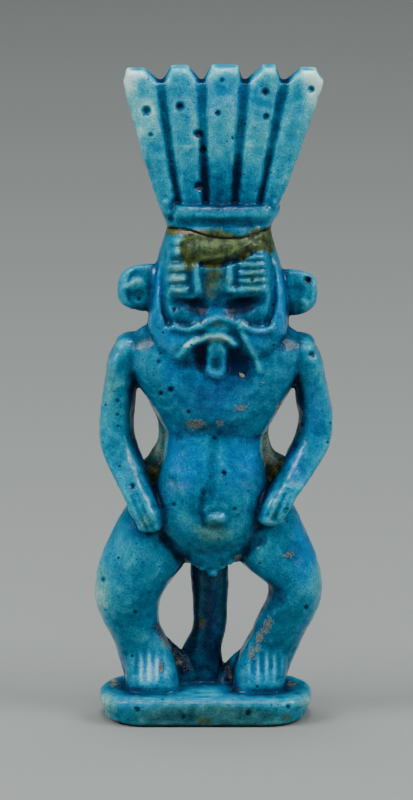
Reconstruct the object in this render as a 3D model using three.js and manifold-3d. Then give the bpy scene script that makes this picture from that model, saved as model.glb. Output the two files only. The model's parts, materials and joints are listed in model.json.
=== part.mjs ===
// A moulded faience figure of Bes: a bandy-legged dwarf with a lion's mane and tail and a tall
// crown of five plumes, hands on his hips, standing on a low plinth. It is one solid piece.
// Millimetres, +Z up. The figure faces -Y. The origin is the middle of the plinth's underside.

import * as THREE from 'three';
import { mergeVertices } from 'three/addons/utils/BufferGeometryUtils.js';
import { LoftGeometry } from 'three/addons/geometries/LoftGeometry.js';
import Module from 'manifold-3d';

const wasm = await Module();
wasm.setup();

// Driving sizes
const plinthWidth = 22.9;
const plinthDepth = 11.6;
const plinthHeight = 3.1;
const plinthEdge = 0.7;
// The plinth's ends are round but for a short straight this far to each side of their middle.
const plinthEndFlat = 0.4;
const plinthCorner = plinthDepth / 2 - plinthEndFlat;
const figureHeight = 68.9;

// Proportions of the figure. Its own height, from the plinth to the tips of the plumes, is 100.
const share = figureHeight / 100;
const footSink = 0.8;

// The figure's middle line leans to its left: height, distance across from the plinth's middle
const middleLine = [[0, 0], [17, 0.5], [27, 0.6], [35, 1.3], [44, 1.7], [53, 1.3], [64, 1.9], [100, 3.0]];

// How boxy the mask is: 2 is an oval, more is squarer
const headSquareness = 3.6;

// How much a form narrows towards the front, as it was drawn from its mould
const bodyDraft = 0.07;
const limbDraft = 0.12;

// Tables of forms. Each row is: height, outer edge, inner edge, front, back.
// Edges of a middle form are measured left and right of the leaning middle line,
// edges of a limb are measured outwards from it.
const torsoRows = [
  [20.4, -5.5, 5.5, -2.6, 4.2],
  [22.5, -9.5, 9.5, -5.2, 5.4],
  [25.0, -10.8, 10.8, -6.8, 6.0],
  [28.0, -11.0, 11.0, -7.8, 5.7],
  [31.0, -10.4, 10.4, -8.1, 5.1],
  [35.0, -9.4, 8.9, -7.3, 4.6],
  [39.0, -8.7, 8.2, -6.1, 4.4],
  [42.0, -8.8, 8.3, -5.2, 4.4],
  [44.0, -9.5, 9.5, -5.9, 4.6],
  [48.0, -11.7, 11.7, -6.0, 4.8],
  [52.0, -14.2, 14.2, -6.0, 4.7],
  [55.0, -14.4, 14.4, -4.8, 4.2],
  [56.8, -12.6, 12.6, -2.6, 3.2],
];
const slabRows = [
  [27.0, -12.2, 12.2, -1.5, 4.8],
  [31.0, -12.6, 12.6, -1.5, 4.4],
  [34.5, -11.9, 11.9, -1.2, 4.2],
  [36.6, -10.4, 10.2, -0.8, 4.2],
  [38.6, -9.2, 8.7, -0.8, 4.2],
  [42.0, -9.0, 8.4, -0.8, 4.2],
  [45.5, -10.3, 10.3, -0.8, 4.2],
  [48.6, -12.4, 12.4, -0.8, 4.2],
  [51.0, -14.2, 14.2, -1.2, 4.0],
];
const headRows = [
  [47.5, -3.6, 3.6, -5.6, 2.6],
  [50.0, -6.8, 6.8, -6.0, 3.8],
  [53.0, -9.2, 9.2, -6.4, 4.6],
  [57.0, -10.7, 11.2, -6.8, 5.2],
  [61.0, -10.5, 11.1, -6.5, 5.6],
  [65.0, -10.0, 10.5, -6.4, 5.7],
  [69.0, -9.5, 9.4, -6.2, 5.4],
  [73.0, -8.4, 8.1, -5.6, 4.9],
  [75.0, -8.0, 7.8, -4.9, 4.5],
];
const bandRows = [
  [74.0, -7.9, 7.8, -4.9, 4.7],
  [75.2, -8.6, 8.4, -4.7, 4.5],
  [76.6, -9.0, 8.8, -4.6, 4.4],
  [77.6, -9.2, 9.1, -5.1, 4.8],
  [78.4, -9.2, 9.1, -5.0, 4.7],
  [79.2, -9.0, 8.9, -4.4, 4.1],
];
const legRows = [
  [1.2, 13.3, 5.4, -3.2, 4.3],
  [4.0, 13.6, 5.6, -3.3, 4.2],
  [8.0, 15.0, 6.7, -3.9, 3.9],
  [11.0, 16.5, 7.6, -4.7, 3.8],
  [14.0, 17.5, 8.2, -5.7, 4.0],
  [17.0, 17.7, 7.6, -6.2, 4.6],
  [20.0, 17.1, 4.6, -6.3, 5.2],
  [24.0, 15.6, 3.6, -6.1, 5.6],
  [27.5, 13.9, 4.4, -5.6, 5.4],
  [30.0, 12.6, 5.6, -4.6, 4.6],
];
const armRows = [
  [27.6, 11.2, 7.6, -7.9, -5.2],
  [29.6, 12.5, 7.7, -8.2, -3.0],
  [31.8, 13.6, 8.8, -7.6, -1.4],
  [34.0, 15.0, 10.2, -6.5, 0.2],
  [36.8, 16.7, 11.2, -5.1, 1.6],
  [39.5, 17.9, 12.3, -3.9, 2.7],
  [42.5, 18.1, 12.9, -3.3, 3.2],
  [46.0, 17.8, 12.6, -3.1, 3.4],
  [50.0, 17.3, 11.9, -3.3, 3.6],
  [53.5, 17.0, 9.8, -3.5, 3.6],
  [55.6, 15.7, 8.4, -3.0, 3.3],
];
const tailRows = [
  [-1.0, -4.6, 4.2, 1.2, 6.2],
  [1.5, -4.4, 3.0, 1.6, 6.2],
  [5.0, -3.8, 2.4, 2.2, 6.2],
  [8.0, -2.1, 2.9, 2.3, 6.2],
  [12.0, -1.9, 3.1, 2.4, 6.3],
  [18.0, -2.7, 3.0, 2.5, 6.6],
  [24.0, -3.2, 3.2, 2.0, 6.4],
];
const footRows = [
  [0.0, 13.2, 4.6, -5.4, 4.2],
  [1.6, 13.3, 4.6, -5.3, 4.2],
  [3.4, 13.3, 4.9, -4.6, 4.2],
  [5.4, 13.2, 5.6, -3.9, 4.0],
  [8.0, 12.6, 7.4, -2.2, 3.4],
];
const earRows = [
  [60.8, 14.2, 8.4, -1.1, 1.6],
  [62.2, 15.4, 8.4, -1.4, 1.8],
  [64.4, 15.6, 8.4, -1.5, 1.9],
  [66.4, 15.4, 8.4, -1.5, 1.8],
  [67.7, 14.3, 8.4, -1.2, 1.6],
];

// Clay left between each heel and the tail: inner edge first, as it fills the gap from below
const rightWebRows = [
  [-1.0, 9.5, 0.0, 0.4, 5.4],
  [2.0, 9.5, 1.2, 0.8, 5.2],
  [4.0, 9.6, 2.8, 1.2, 4.8],
  [5.6, 9.8, 4.5, 1.4, 4.4],
  [8.2, 10.5, 6.6, 1.4, 4.0],
];
const leftWebRows = [
  [-1.0, 9.5, 0.0, 0.4, 5.4],
  [2.2, 9.5, 2.6, 0.8, 5.2],
  [4.0, 9.6, 4.1, 1.2, 4.8],
  [6.2, 9.8, 5.9, 1.4, 4.4],
];

// The knees are not alike: the gap beside the tail is wider on the figure's left.
const kneeShift = 1.5;
const kneeHeight = 17;
const kneeReach = 6;

// The figure's left hand rests a little higher, and its left ear sits lower.
const handRise = 1.2;
const earDrop = 0.8;

// Crown: where one plume ends and the next starts, across the foot and across the top
const plumeFoot = 77.5;
const plumeNotch = 97.5;
const plumeTip = 100;
const plumeFootEdges = [-9.1, -6.1, -2.2, 2.1, 5.6, 8.5];
const plumeTopEdges = [-15.7, -10.3, -3.6, 3.0, 9.2, 15.4];
const plumeTipEdges = [[-14.1, -12.4], [-8.3, -6.0], [-2.1, 2.3], [6.3, 7.6], [12.5, 13.9]];
const plumeFootDepth = 3.4;
const plumeTopDepth = 2.2;
const plumeFlare = 0.85;
const grooveHalf = 0.3;
const coreDepth = 0.42;

// How far across the middle line lies at one height
function leanAt(up) {
  const heights = middleLine.map((row) => row[0]);
  const shifts = middleLine.map((row) => row[1]);
  return new THREE.LinearInterpolant(heights, shifts, 1).evaluate(up)[0];
}

// A point of the figure, from shares of its height to millimetres above the plinth
function place(across, back, up) {
  return new THREE.Vector3((across + leanAt(up)) * share, back * share, plinthHeight + up * share);
}

// The same for a form's size, which neither leans nor moves
function size(wide, deep, high) {
  return new THREE.Vector3(wide * share, deep * share, high * share);
}

// A closed geometry as a solid that can be joined and cut
function solid(geometry) {
  const plain = new THREE.BufferGeometry();
  plain.setAttribute('position', geometry.attributes.position);
  plain.setIndex(geometry.index);
  const merged = mergeVertices(plain, 1e-4);
  return new wasm.Manifold(new wasm.Mesh({
    numProp: 3,
    vertProperties: new Float32Array(merged.attributes.position.array),
    triVerts: new Uint32Array(merged.index.array),
  }));
}

// Cosine or sine pushed outwards, so that a ring of them is a rounded box instead of an oval
function squared(value, squareness) {
  return Math.sign(value) * Math.abs(value) ** (2 / squareness);
}

// Rows of a table read at evenly spaced heights along a smooth curve through them
function smoothRows(rows, steps) {
  const heights = rows.map((row) => row[0]);
  const values = rows.flat();
  const curve = new THREE.CubicInterpolant(heights, values, rows[0].length);
  const result = [];
  for (let i = 0; i <= steps; i += 1) {
    const height = THREE.MathUtils.lerp(heights[0], heights.at(-1), i / steps);
    result.push([...curve.evaluate(height)]);
  }
  return result;
}

// One ring of a stacked form, `shrink` times its size about its own middle
function ring([up, left, right, front, back], { sides, squareness, draft, shrink }) {
  const points = [];
  for (let i = 0; i < sides; i += 1) {
    const turn = (i / sides) * 2 * Math.PI;
    const across = squared(Math.cos(turn), squareness) * (right - left) / 2 * shrink;
    const depth = squared(Math.sin(turn), squareness);
    const narrowing = 1 + draft * Math.min(depth, 0);
    points.push(place(
      (left + right) / 2 + across * narrowing,
      (front + back) / 2 + depth * (back - front) / 2 * shrink,
      up,
    ));
  }
  return points;
}

// A form built up of rings from its lowest row to its highest, with a dome on each end.
// `foot` and `crown` are the heights of those domes.
function stack(rows, { sides, steps, squareness = 2.3, draft = bodyDraft, foot = 0, crown = 0 }) {
  const domeSteps = 2;
  const smooth = smoothRows(rows, steps);
  const sections = smooth.map((row) => ring(row, { sides, squareness, draft, shrink: 1 }));
  for (let i = 1; i <= domeSteps; i += 1) {
    const angle = (i / (domeSteps + 0.3)) * (Math.PI / 2);
    const shrink = Math.cos(angle);
    if (crown > 0) {
      const [up, ...edges] = smooth.at(-1);
      sections.push(ring([up + crown * Math.sin(angle), ...edges], { sides, squareness, draft, shrink }));
    }
    if (foot > 0) {
      const [up, ...edges] = smooth[0];
      sections.unshift(ring([up - foot * Math.sin(angle), ...edges], { sides, squareness, draft, shrink }));
    }
  }
  return solid(new LoftGeometry(sections, { capStart: true, capEnd: true }));
}

// Where the front of a stacked form lies at one place across it and one height
function frontOf(rows, squareness, across, up) {
  const curve = new THREE.CubicInterpolant(rows.map((row) => row[0]), rows.flat(), rows[0].length);
  const [, left, right, front, back] = curve.evaluate(up);
  const reach = Math.min(Math.abs(across - (left + right) / 2) / ((right - left) / 2), 0.98);
  const depth = (1 - reach ** squareness) ** (1 / squareness);
  return (front + back) / 2 - depth * (back - front) / 2;
}

// A limb's table on one side of the figure: side is -1 for its right, 1 for its left
function limbRows(rows, side) {
  return rows.map(([up, outer, inner, front, back]) => [
    up,
    Math.min(side * outer, side * inner),
    Math.max(side * outer, side * inner),
    front,
    back,
  ]);
}

// An oval lump or hollow about a middle point
function ball(across, back, up, wide, deep, high, { around = 10, down = 5, tilt = 0 } = {}) {
  const geometry = new THREE.SphereGeometry(1, around, down);
  geometry.scale(...size(wide, deep, high).toArray());
  geometry.rotateY(tilt);
  geometry.translate(...place(across, back, up).toArray());
  return solid(geometry);
}

// A raised or sunk line along points of the figure, as thick as its radius and thin at its ends
function bead(points, radius, { sides = 5, steps = 5, taper = 0.45 } = {}) {
  const curve = new THREE.CatmullRomCurve3(points.map(([across, back, up]) => place(across, back, up)));
  const inwards = new THREE.Vector3(0, 1, 0);
  const sections = [];
  for (let i = 0; i <= steps; i += 1) {
    const along = i / steps;
    const middle = curve.getPoint(along);
    const heading = curve.getTangent(along);
    const sideways = new THREE.Vector3().crossVectors(inwards, heading).normalize();
    const upright = new THREE.Vector3().crossVectors(heading, sideways);
    const ends = Math.max(Math.sin(Math.PI * along), 0.02) ** taper;
    const section = [];
    for (let j = 0; j < sides; j += 1) {
      const turn = (j / sides) * 2 * Math.PI;
      section.push(middle.clone()
        .addScaledVector(sideways, radius * share * ends * Math.cos(turn))
        .addScaledVector(upright, radius * share * ends * Math.sin(turn)));
    }
    sections.push(section);
  }
  return solid(new LoftGeometry(sections, { capStart: true, capEnd: true }));
}

function join(solids) {
  return solids.reduce((whole, next) => whole.add(next));
}

// Plinth: a rounded oblong with softened top and bottom edges
function plinth() {
  const cornerSteps = 5;
  const section = (up, shrink) => {
    const points = [];
    const radius = plinthCorner - shrink;
    const corners = [[1, 1], [-1, 1], [-1, -1], [1, -1]];
    corners.forEach(([acrossSign, backSign], quarter) => {
      const middleX = acrossSign * (plinthWidth / 2 - plinthCorner);
      const middleY = backSign * (plinthDepth / 2 - plinthCorner);
      for (let i = 0; i <= cornerSteps; i += 1) {
        const turn = (quarter + i / cornerSteps) * (Math.PI / 2);
        points.push(new THREE.Vector3(
          middleX + radius * Math.cos(turn),
          middleY + radius * Math.sin(turn),
          up,
        ));
      }
    });
    return points;
  };
  const turns = [0, 30, 60, 90].map((turn) => THREE.MathUtils.degToRad(turn));
  const inset = (turn) => plinthEdge * (1 - Math.cos(turn));
  const rise = (turn) => plinthEdge * Math.sin(turn);
  const sections = [
    ...turns.toReversed().map((turn) => section(plinthEdge - rise(turn), inset(turn))),
    ...turns.map((turn) => section(plinthHeight - plinthEdge + rise(turn), inset(turn))),
  ];
  return solid(new LoftGeometry(sections, { capStart: true, capEnd: true }));
}

// Leg: bowed outwards at the knee
function leg(side) {
  const rows = legRows.map(([up, outer, inner, front, back]) => {
    const nearKnee = Math.max(0, 1 - Math.abs(up - kneeHeight) / kneeReach);
    return [up, outer, inner + side * kneeShift * nearKnee, front, back];
  });
  return stack(limbRows(rows, side), { sides: 12, steps: 8, draft: limbDraft, crown: 2 });
}

// Foot: a wedge down to a row of toes parted by grooves
function foot(side) {
  const toes = 5;
  const innerEdge = 4.6;
  const outerEdge = 13.3;
  const bigToeShare = 0.24;
  const lowered = footRows.map(([up, ...edges], i) => [i === 0 ? up - footSink : up, ...edges]);
  let whole = stack(limbRows(lowered, side), { sides: 12, steps: 4, squareness: 3.4, draft: 0 });
  for (let i = 0; i < toes - 1; i += 1) {
    const along = bigToeShare + (1 - bigToeShare) * (i / (toes - 1));
    const across = side * THREE.MathUtils.lerp(innerEdge, outerEdge, along);
    whole = whole.subtract(bead([
      [across, -5.5, 0.4],
      [across, -5.1, 2.4],
      [across, -4.0, 5.6],
    ], 0.5, { sides: 5, steps: 3 }));
  }
  return whole;
}

// Arm: bent at the elbow, with the hand flat on the hip and its fingers parted by grooves
function arm(side) {
  const elbow = 42.5;
  const wrist = 31;
  const rise = side > 0 ? handRise : 0;
  const rows = armRows.map(([up, ...edges]) => {
    const towardsHand = THREE.MathUtils.clamp((elbow - up) / (elbow - wrist), 0, 1);
    return [up + rise * towardsHand, ...edges];
  });
  let whole = stack(limbRows(rows, side), {
    sides: 12, steps: 11, squareness: 2.4, draft: limbDraft, foot: 1.0, crown: 1.6,
  });
  const grooves = 3;
  for (let i = 1; i <= grooves; i += 1) {
    const lower = THREE.MathUtils.lerp(7.9, 11.3, i / (grooves + 1));
    const upper = THREE.MathUtils.lerp(8.7, 13.3, i / (grooves + 1));
    whole = whole.subtract(bead([
      [side * lower, -8.1, 26.8 + rise],
      [side * (lower + upper) / 2, -8.2, 29.2 + rise],
      [side * upper, -7.6, 31.6 + rise],
    ], 0.32, { sides: 5, steps: 2 }));
  }
  return whole;
}

// The edges of the crown at one height, from its foot to the notches between the plumes
function plumeEdge(index, rising) {
  return THREE.MathUtils.lerp(plumeFootEdges[index], plumeTopEdges[index], rising ** plumeFlare);
}

// One plume of the crown, between two neighbouring edges
function plume(index) {
  const rowCount = 3;
  const sections = [];
  const shape = { sides: 10, squareness: 2.8, draft: 0, shrink: 1 };
  const add = (up, left, right, depth) => {
    sections.push(ring([up, left, right, -depth, depth], shape));
  };
  const inset = (edge) => (edge === 0 || edge === plumeTopEdges.length - 1 ? 0 : grooveHalf);
  for (let i = 0; i <= rowCount; i += 1) {
    const rising = i / rowCount;
    add(
      THREE.MathUtils.lerp(plumeFoot, plumeNotch, rising),
      plumeEdge(index, rising) + inset(index),
      plumeEdge(index + 1, rising) - inset(index + 1),
      THREE.MathUtils.lerp(plumeFootDepth, plumeTopDepth, rising),
    );
  }
  const [tipLeft, tipRight] = plumeTipEdges[index];
  for (const [rising, narrowing, depth] of [[0.45, 0.3, 0.97], [0.8, 0.65, 0.84], [1, 1, 0.6]]) {
    add(
      THREE.MathUtils.lerp(plumeNotch, plumeTip, rising),
      THREE.MathUtils.lerp(plumeTopEdges[index] + inset(index), tipLeft, narrowing),
      THREE.MathUtils.lerp(plumeTopEdges[index + 1] - inset(index + 1), tipRight, narrowing),
      plumeTopDepth * depth,
    );
  }
  return solid(new LoftGeometry(sections, { capStart: true, capEnd: true }));
}

// The thin fan that joins the plumes at the bottom of their grooves
function plumeCore() {
  const rowCount = 3;
  const last = plumeTopEdges.length - 1;
  const edgeMargin = 0.8;
  const sections = [];
  for (let i = 0; i <= rowCount; i += 1) {
    const rising = i / rowCount;
    const depth = coreDepth * THREE.MathUtils.lerp(plumeFootDepth, plumeTopDepth, rising);
    sections.push(ring([
      THREE.MathUtils.lerp(plumeFoot, plumeNotch, rising),
      plumeEdge(0, rising) + edgeMargin,
      plumeEdge(last, rising) - edgeMargin,
      -depth,
      depth,
    ], { sides: 12, squareness: 6, draft: 0, shrink: 1 }));
  }
  return solid(new LoftGeometry(sections, { capStart: true, capEnd: true }));
}

// Ear: a round lion's ear, hollowed in front
function ear(side) {
  const drop = side > 0 ? earDrop : 0;
  const rows = earRows.map(([up, ...edges]) => [up - drop, ...edges]);
  const lobe = stack(limbRows(rows, side), { sides: 12, steps: 4, draft: 0, foot: 0.6, crown: 0.6 });
  const hollow = ball(side * 13.0, -1.9, 65.4 - drop, 1.4, 1.2, 1.4);
  const lowerHollow = ball(side * 12.4, -1.8, 62.6 - drop, 1.5, 0.9, 0.9);
  return lobe.subtract(hollow).subtract(lowerHollow);
}

// Head: a broad mask with heavy furrowed brows, sunk eyes, a flat nose and the tongue out.
// Its features are placed by how far they stand out of the mask's front.
function onMask(across, proud, up) {
  return [across, frontOf(headRows, headSquareness, across, up) - proud, up];
}

function lump(across, proud, up, wide, deep, high, more) {
  return ball(...onMask(across, proud, up), wide, deep, high, more);
}

function line(points, radius, more) {
  return bead(points.map((point) => onMask(...point)), radius, more);
}

function brows() {
  const blunt = { steps: 4, taper: 0.14 };
  const folds = [
    // the upright folds above the nose, and the edge of the cap over them
    line([[-3.2, 0.1, 70.0], [-3.2, 0.2, 67.4], [-3.1, 0.1, 64.8]], 0.8, blunt),
    line([[1.7, 0.1, 69.8], [1.8, 0.2, 67.4], [1.9, 0.1, 65.0]], 0.9, blunt),
    line([[-3.2, 0.1, 70.6], [0.2, 0.2, 70.4], [2.6, 0.1, 71.2], [4.4, 0, 72.8]], 0.7),
  ];
  for (const up of [69.3, 67.5, 65.7]) {
    folds.push(line([[-8.1, 0, up], [-6.2, 0.2, up + 0.1], [-4.4, 0.2, up]], 0.85, blunt));
  }
  for (const up of [70.5, 69.2, 68.0, 66.8, 65.5]) {
    folds.push(line([[3.2, 0.2, up], [5.4, 0.2, up + 0.1], [7.7, 0, up + 0.2]], 0.6, blunt));
  }
  return folds;
}

function mask() {
  const raised = [
    stack(headRows, { sides: 22, steps: 8, squareness: headSquareness }),
    // the nose, and the fold under the eyes that rises over it
    lump(0.1, -0.2, 62.2, 2.0, 1.7, 2.4),
    lump(0.1, 0.2, 60.9, 2.9, 1.6, 1.1, { around: 12 }),
    line([
      [-8.0, -0.4, 60.1],
      [-5.0, 0.2, 59.4],
      [-3.4, 0.5, 59.2],
      [-1.7, 1.3, 60.1],
      [0.1, 1.8, 60.8],
      [1.9, 1.3, 60.3],
      [3.6, 0.5, 59.4],
      [5.5, 0.2, 58.9],
      [8.4, -0.4, 59.6],
    ], 1.1, { sides: 6, steps: 14, taper: 0.2 }),
    // the muzzle on both sides of the mouth
    lump(-4.0, -1.8, 57.4, 4.4, 2.6, 2.5, { tilt: -0.55 }),
    lump(3.8, -1.8, 57.6, 4.4, 2.6, 2.5, { tilt: 0.55 }),
  ];
  const cuts = [
    // the furrow that parts the face from the mane
    line([[-8.9, 0, 71.0], [-9.0, 0, 66], [-8.7, 0, 61.5], [-7.8, 0, 59.4]], 0.65, { steps: 7 }),
    line([[8.0, 0, 71.4], [9.1, 0, 66], [9.3, 0, 61.5], [8.6, 0, 59.2]], 0.65, { steps: 7 }),
    // the eye sockets under the brows
    lump(-4.9, 0.8, 62.6, 3.1, 2.4, 1.7, { tilt: 0.1 }),
    lump(5.2, 0.8, 62.6, 3.5, 2.4, 1.8, { tilt: -0.08 }),
  ];
  const eyes = [
    lump(-5.2, -1.3, 61.9, 2.0, 1.4, 1.2),
    lump(5.4, -1.3, 61.9, 2.2, 1.4, 1.2),
  ];
  const carved = cuts.reduce((whole, hollow) => whole.subtract(hollow), join([...raised, ...brows()]));
  return join([carved, ...eyes]);
}

// The open mouth is hollowed out of the mask and the chest below it
function mouthHollow() {
  return lump(0.2, 1.3, 53.6, 6.0, 2.9, 3.8, { around: 14, down: 8 });
}

function mouthEdges() {
  return [
    line([
      [-6.9, 0.1, 54.5],
      [-5.2, 0.5, 56.2],
      [-3.2, 0.7, 57.5],
      [-0.8, 0.8, 58.2],
      [1.6, 0.8, 57.9],
      [3.2, 0.6, 57.2],
    ], 0.95, { sides: 6, steps: 8, taper: 0.3 }),
    line([[3.8, 0.5, 58.8], [5.4, 0.4, 56.4], [7.0, 0.1, 52.8]], 0.7, { steps: 6 }),
    lump(0.05, 0.1, 55.0, 1.7, 1.3, 3.1, { around: 10, down: 8 }),
  ];
}

// Belly: a navel, and the lobe that hangs over the groin
function bellyMarks() {
  return join([
    ball(0.7, -7.9, 29.4, 1.7, 0.8, 0.8, { around: 10, down: 6 }),
    ball(0.4, -4.4, 21.6, 2.7, 1.7, 2.5, { around: 12, down: 7 }),
  ]);
}

// The whole figure as one closed solid
function figure() {
  const sides = [-1, 1];
  const body = join([
    plinth(),
    stack(tailRows, { sides: 10, steps: 5, draft: 0 }),
    stack(limbRows(rightWebRows, -1), { sides: 8, steps: 3, draft: 0 }),
    stack(limbRows(leftWebRows, 1), { sides: 8, steps: 3, draft: 0 }),
    stack(torsoRows, { sides: 20, steps: 11, crown: 0.8 }),
    stack(slabRows, { sides: 12, steps: 7, squareness: 4, draft: 0 }),
    ...sides.map(leg),
    ...sides.map(foot),
    ...sides.map(arm),
    bellyMarks(),
    mask(),
  ]);
  const bellyGroove = bead([[-0.2, -5.7, 42.2], [-0.3, -6.7, 38], [-0.2, -7.9, 33.4]], 0.5, { steps: 5 });
  const crown = [
    stack(bandRows, { sides: 20, steps: 5, squareness: 2.8, draft: 0 }),
    plumeCore(),
  ];
  for (let i = 0; i < plumeTipEdges.length; i += 1) {
    crown.push(plume(i));
  }
  return join([
    body.subtract(bellyGroove).subtract(mouthHollow()),
    ...mouthEdges(),
    ...sides.map(ear),
    ...crown,
  ]);
}

function meshOf(name, shape, material) {
  const { vertProperties, triVerts } = shape.getMesh();
  const geometry = new THREE.BufferGeometry();
  geometry.setAttribute('position', new THREE.BufferAttribute(new Float32Array(vertProperties), 3));
  geometry.setIndex(new THREE.BufferAttribute(new Uint32Array(triVerts), 1));
  geometry.computeVertexNormals();
  const mesh = new THREE.Mesh(geometry, material);
  mesh.name = name;
  return mesh;
}

const faience = new THREE.MeshStandardMaterial({ color: 0x1c84ab, roughness: 0.35, metalness: 0 });

const part = new THREE.Group();
part.add(meshOf('bes_figure', figure(), faience));

export default part;
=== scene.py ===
# %% [markdown]
# # A glazed faience figure of Bes
# The object is a finger-high figure pressed in a mould from a sandy paste and fired under a
# copper-blue glaze. The packed solid already has its outline and its main forms. This lesson
# lays a finer skin over it: the same forms, melted into one another as wet paste and glaze
# melt them, then carved, pitted and coloured. All lengths are worked out in millimetres and
# turned into Blender's metres once, at the end.

# %% Load the packed part
import json
import math

import bpy
import numpy as np
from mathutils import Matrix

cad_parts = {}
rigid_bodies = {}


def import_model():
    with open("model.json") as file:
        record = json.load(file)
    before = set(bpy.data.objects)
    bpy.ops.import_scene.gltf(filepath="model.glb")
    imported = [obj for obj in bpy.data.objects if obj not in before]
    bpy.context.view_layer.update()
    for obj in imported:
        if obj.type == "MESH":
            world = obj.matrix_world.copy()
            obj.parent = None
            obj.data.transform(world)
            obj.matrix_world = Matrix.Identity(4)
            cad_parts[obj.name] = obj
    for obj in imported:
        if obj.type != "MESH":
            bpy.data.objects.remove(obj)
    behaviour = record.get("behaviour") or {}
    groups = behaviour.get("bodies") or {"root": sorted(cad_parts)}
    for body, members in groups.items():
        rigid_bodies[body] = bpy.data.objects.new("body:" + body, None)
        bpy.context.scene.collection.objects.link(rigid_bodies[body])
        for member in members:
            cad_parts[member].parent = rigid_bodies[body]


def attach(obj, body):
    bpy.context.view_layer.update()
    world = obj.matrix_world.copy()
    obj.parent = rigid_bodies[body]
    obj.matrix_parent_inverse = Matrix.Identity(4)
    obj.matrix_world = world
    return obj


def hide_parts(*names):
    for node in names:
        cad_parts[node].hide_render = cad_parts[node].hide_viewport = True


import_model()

scene = bpy.context.scene
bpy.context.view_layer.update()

# %% [markdown]
# ## The camera
# The photograph was taken from straight in front with a long lens, from a little above: the
# top of the plinth can be seen. A short lens would swell the nearest parts, so the camera
# here stands far off with a long lens. Its height gives the tilt of fifteen degrees, and the
# lens makes one millimetre of the figure a little over nine pixels.

# %% Camera
camera_rise = math.radians(15)
camera_distance = 2.0
camera_aim = (0.000107, 0.0, 0.03494)
pixels_per_metre = 9320
frame_height = 800
sensor_mm = 36

eye = bpy.data.cameras.new("eye")
eye.sensor_width = sensor_mm
eye.lens = pixels_per_metre * camera_distance * sensor_mm / frame_height
eye.clip_start = 0.01
camera = bpy.data.objects.new("camera", eye)
camera.location = (
    camera_aim[0],
    camera_aim[1] - camera_distance * math.cos(camera_rise),
    camera_aim[2] + camera_distance * math.sin(camera_rise),
)
camera.rotation_euler = (math.pi / 2 - camera_rise, 0, 0)
scene.collection.objects.link(camera)
scene.camera = camera
print("lens, mm:", round(eye.lens, 1))

# %% [markdown]
# ## Tables of forms
# A figure like this can be sculpted, or each limb can be a stack of rings. Rings are kept
# here, because a table of a few rows then says the whole limb and can be corrected against
# the photograph number by number. Heights and edges are hundredths of the figure's height,
# so the tables read the same as the solid's own.

# %% Sizes
# in millimetres: the plinth with its rounded edges and tucked ends, and the figure on it
plinth_size = (22.9, 11.6, 3.1)
plinth_edge = 1.0
foot_rise, foot_inset = 0.55, 1.2
end_tuck = 0.9
figure_height = 68.9
share = figure_height / 100

# in shares: a height, and how far the leaning middle has moved across there
middle_line = np.array([[0, 0], [17, 0.5], [27, 0.6], [35, 1.3], [44, 1.7], [53, 1.45], [64, 1.9], [100, 3]])

print("one share, mm:", round(share, 3))

# %% Trunk, head and band
# each row: height, left edge, right edge, front, back
belly_rows = [
    [20.4, -5.5, 5.5, -2.6, 4.2],
    [22.5, -9, 9, -5.2, 5.4],
    [25, -10.2, 10.2, -6.8, 6],
    [28, -10.4, 10.3, -7.8, 5.7],
    [31, -9.7, 9.5, -8.1, 5.1],
    [35, -8.6, 8.2, -7.3, 4.6],
    [39, -7.9, 7.5, -6.1, 4.4],
    [42, -8, 7.6, -5.3, 4.4],
    [46, -8.8, 8.6, -5.3, 4.4],
]
chest_rows = [
    [41.2, -7.8, 7.8, -4.9, 4],
    [43.6, -9, 9, -5.7, 4.5],
    [47, -10.9, 10.9, -6.5, 4.8],
    [50, -12.7, 12.7, -6.8, 4.8],
    [53, -14, 14, -6.6, 4.6],
    [55.4, -14.2, 14.2, -6.1, 4.2],
    [57.2, -12.8, 12.8, -5.2, 3.4],
    [58.2, -11.4, 11.4, -4.2, 2.6],
]
slab_rows = [
    [27, -12.2, 12.2, -1.5, 4.8],
    [31, -12.6, 12.6, -1.5, 4.4],
    [34.8, -11.8, 12, -1.2, 4.2],
    [36.4, -10.5, 11.2, -0.8, 4.2],
    [37.2, -10, 9.7, -0.8, 4.2],
    [38.6, -9.2, 8.7, -0.8, 4.2],
    [42, -9, 8.4, -0.8, 4.2],
    [45.5, -10.3, 10.3, -0.8, 4.2],
    [48.6, -12.4, 12.4, -0.8, 4.2],
    [51, -14.2, 14.2, -1.2, 4],
]
head_rows = [
    [47.5, -3.6, 3.6, -5.6, 2.6],
    [50, -6.8, 6.8, -6, 3.8],
    [53, -9.2, 9.2, -6.4, 4.6],
    [57, -10.7, 11.2, -6.8, 5.2],
    [61, -10.5, 11.1, -6.5, 5.6],
    [65, -10, 10.5, -6.4, 5.7],
    [69, -9.5, 9.4, -6.2, 5.4],
    [73, -8.4, 8.1, -5.6, 4.9],
    [75, -8, 7.8, -4.9, 4.5],
]
band_rows = [
    [73.4, -7.9, 7.8, -4.9, 4.7],
    [74.6, -8.3, 8.1, -4.75, 4.5],
    [75.7, -8.8, 8.6, -4.6, 4.4],
    [76.3, -9.1, 9, -4.75, 4.6],
    [76.9, -9.3, 9.2, -5, 4.8],
    [77.6, -9.2, 9.2, -5, 4.8],
    [78.3, -9, 8.9, -4.5, 4.2],
]
print("rows from belly to band:", len(belly_rows + chest_rows + slab_rows + head_rows + band_rows))

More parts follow.
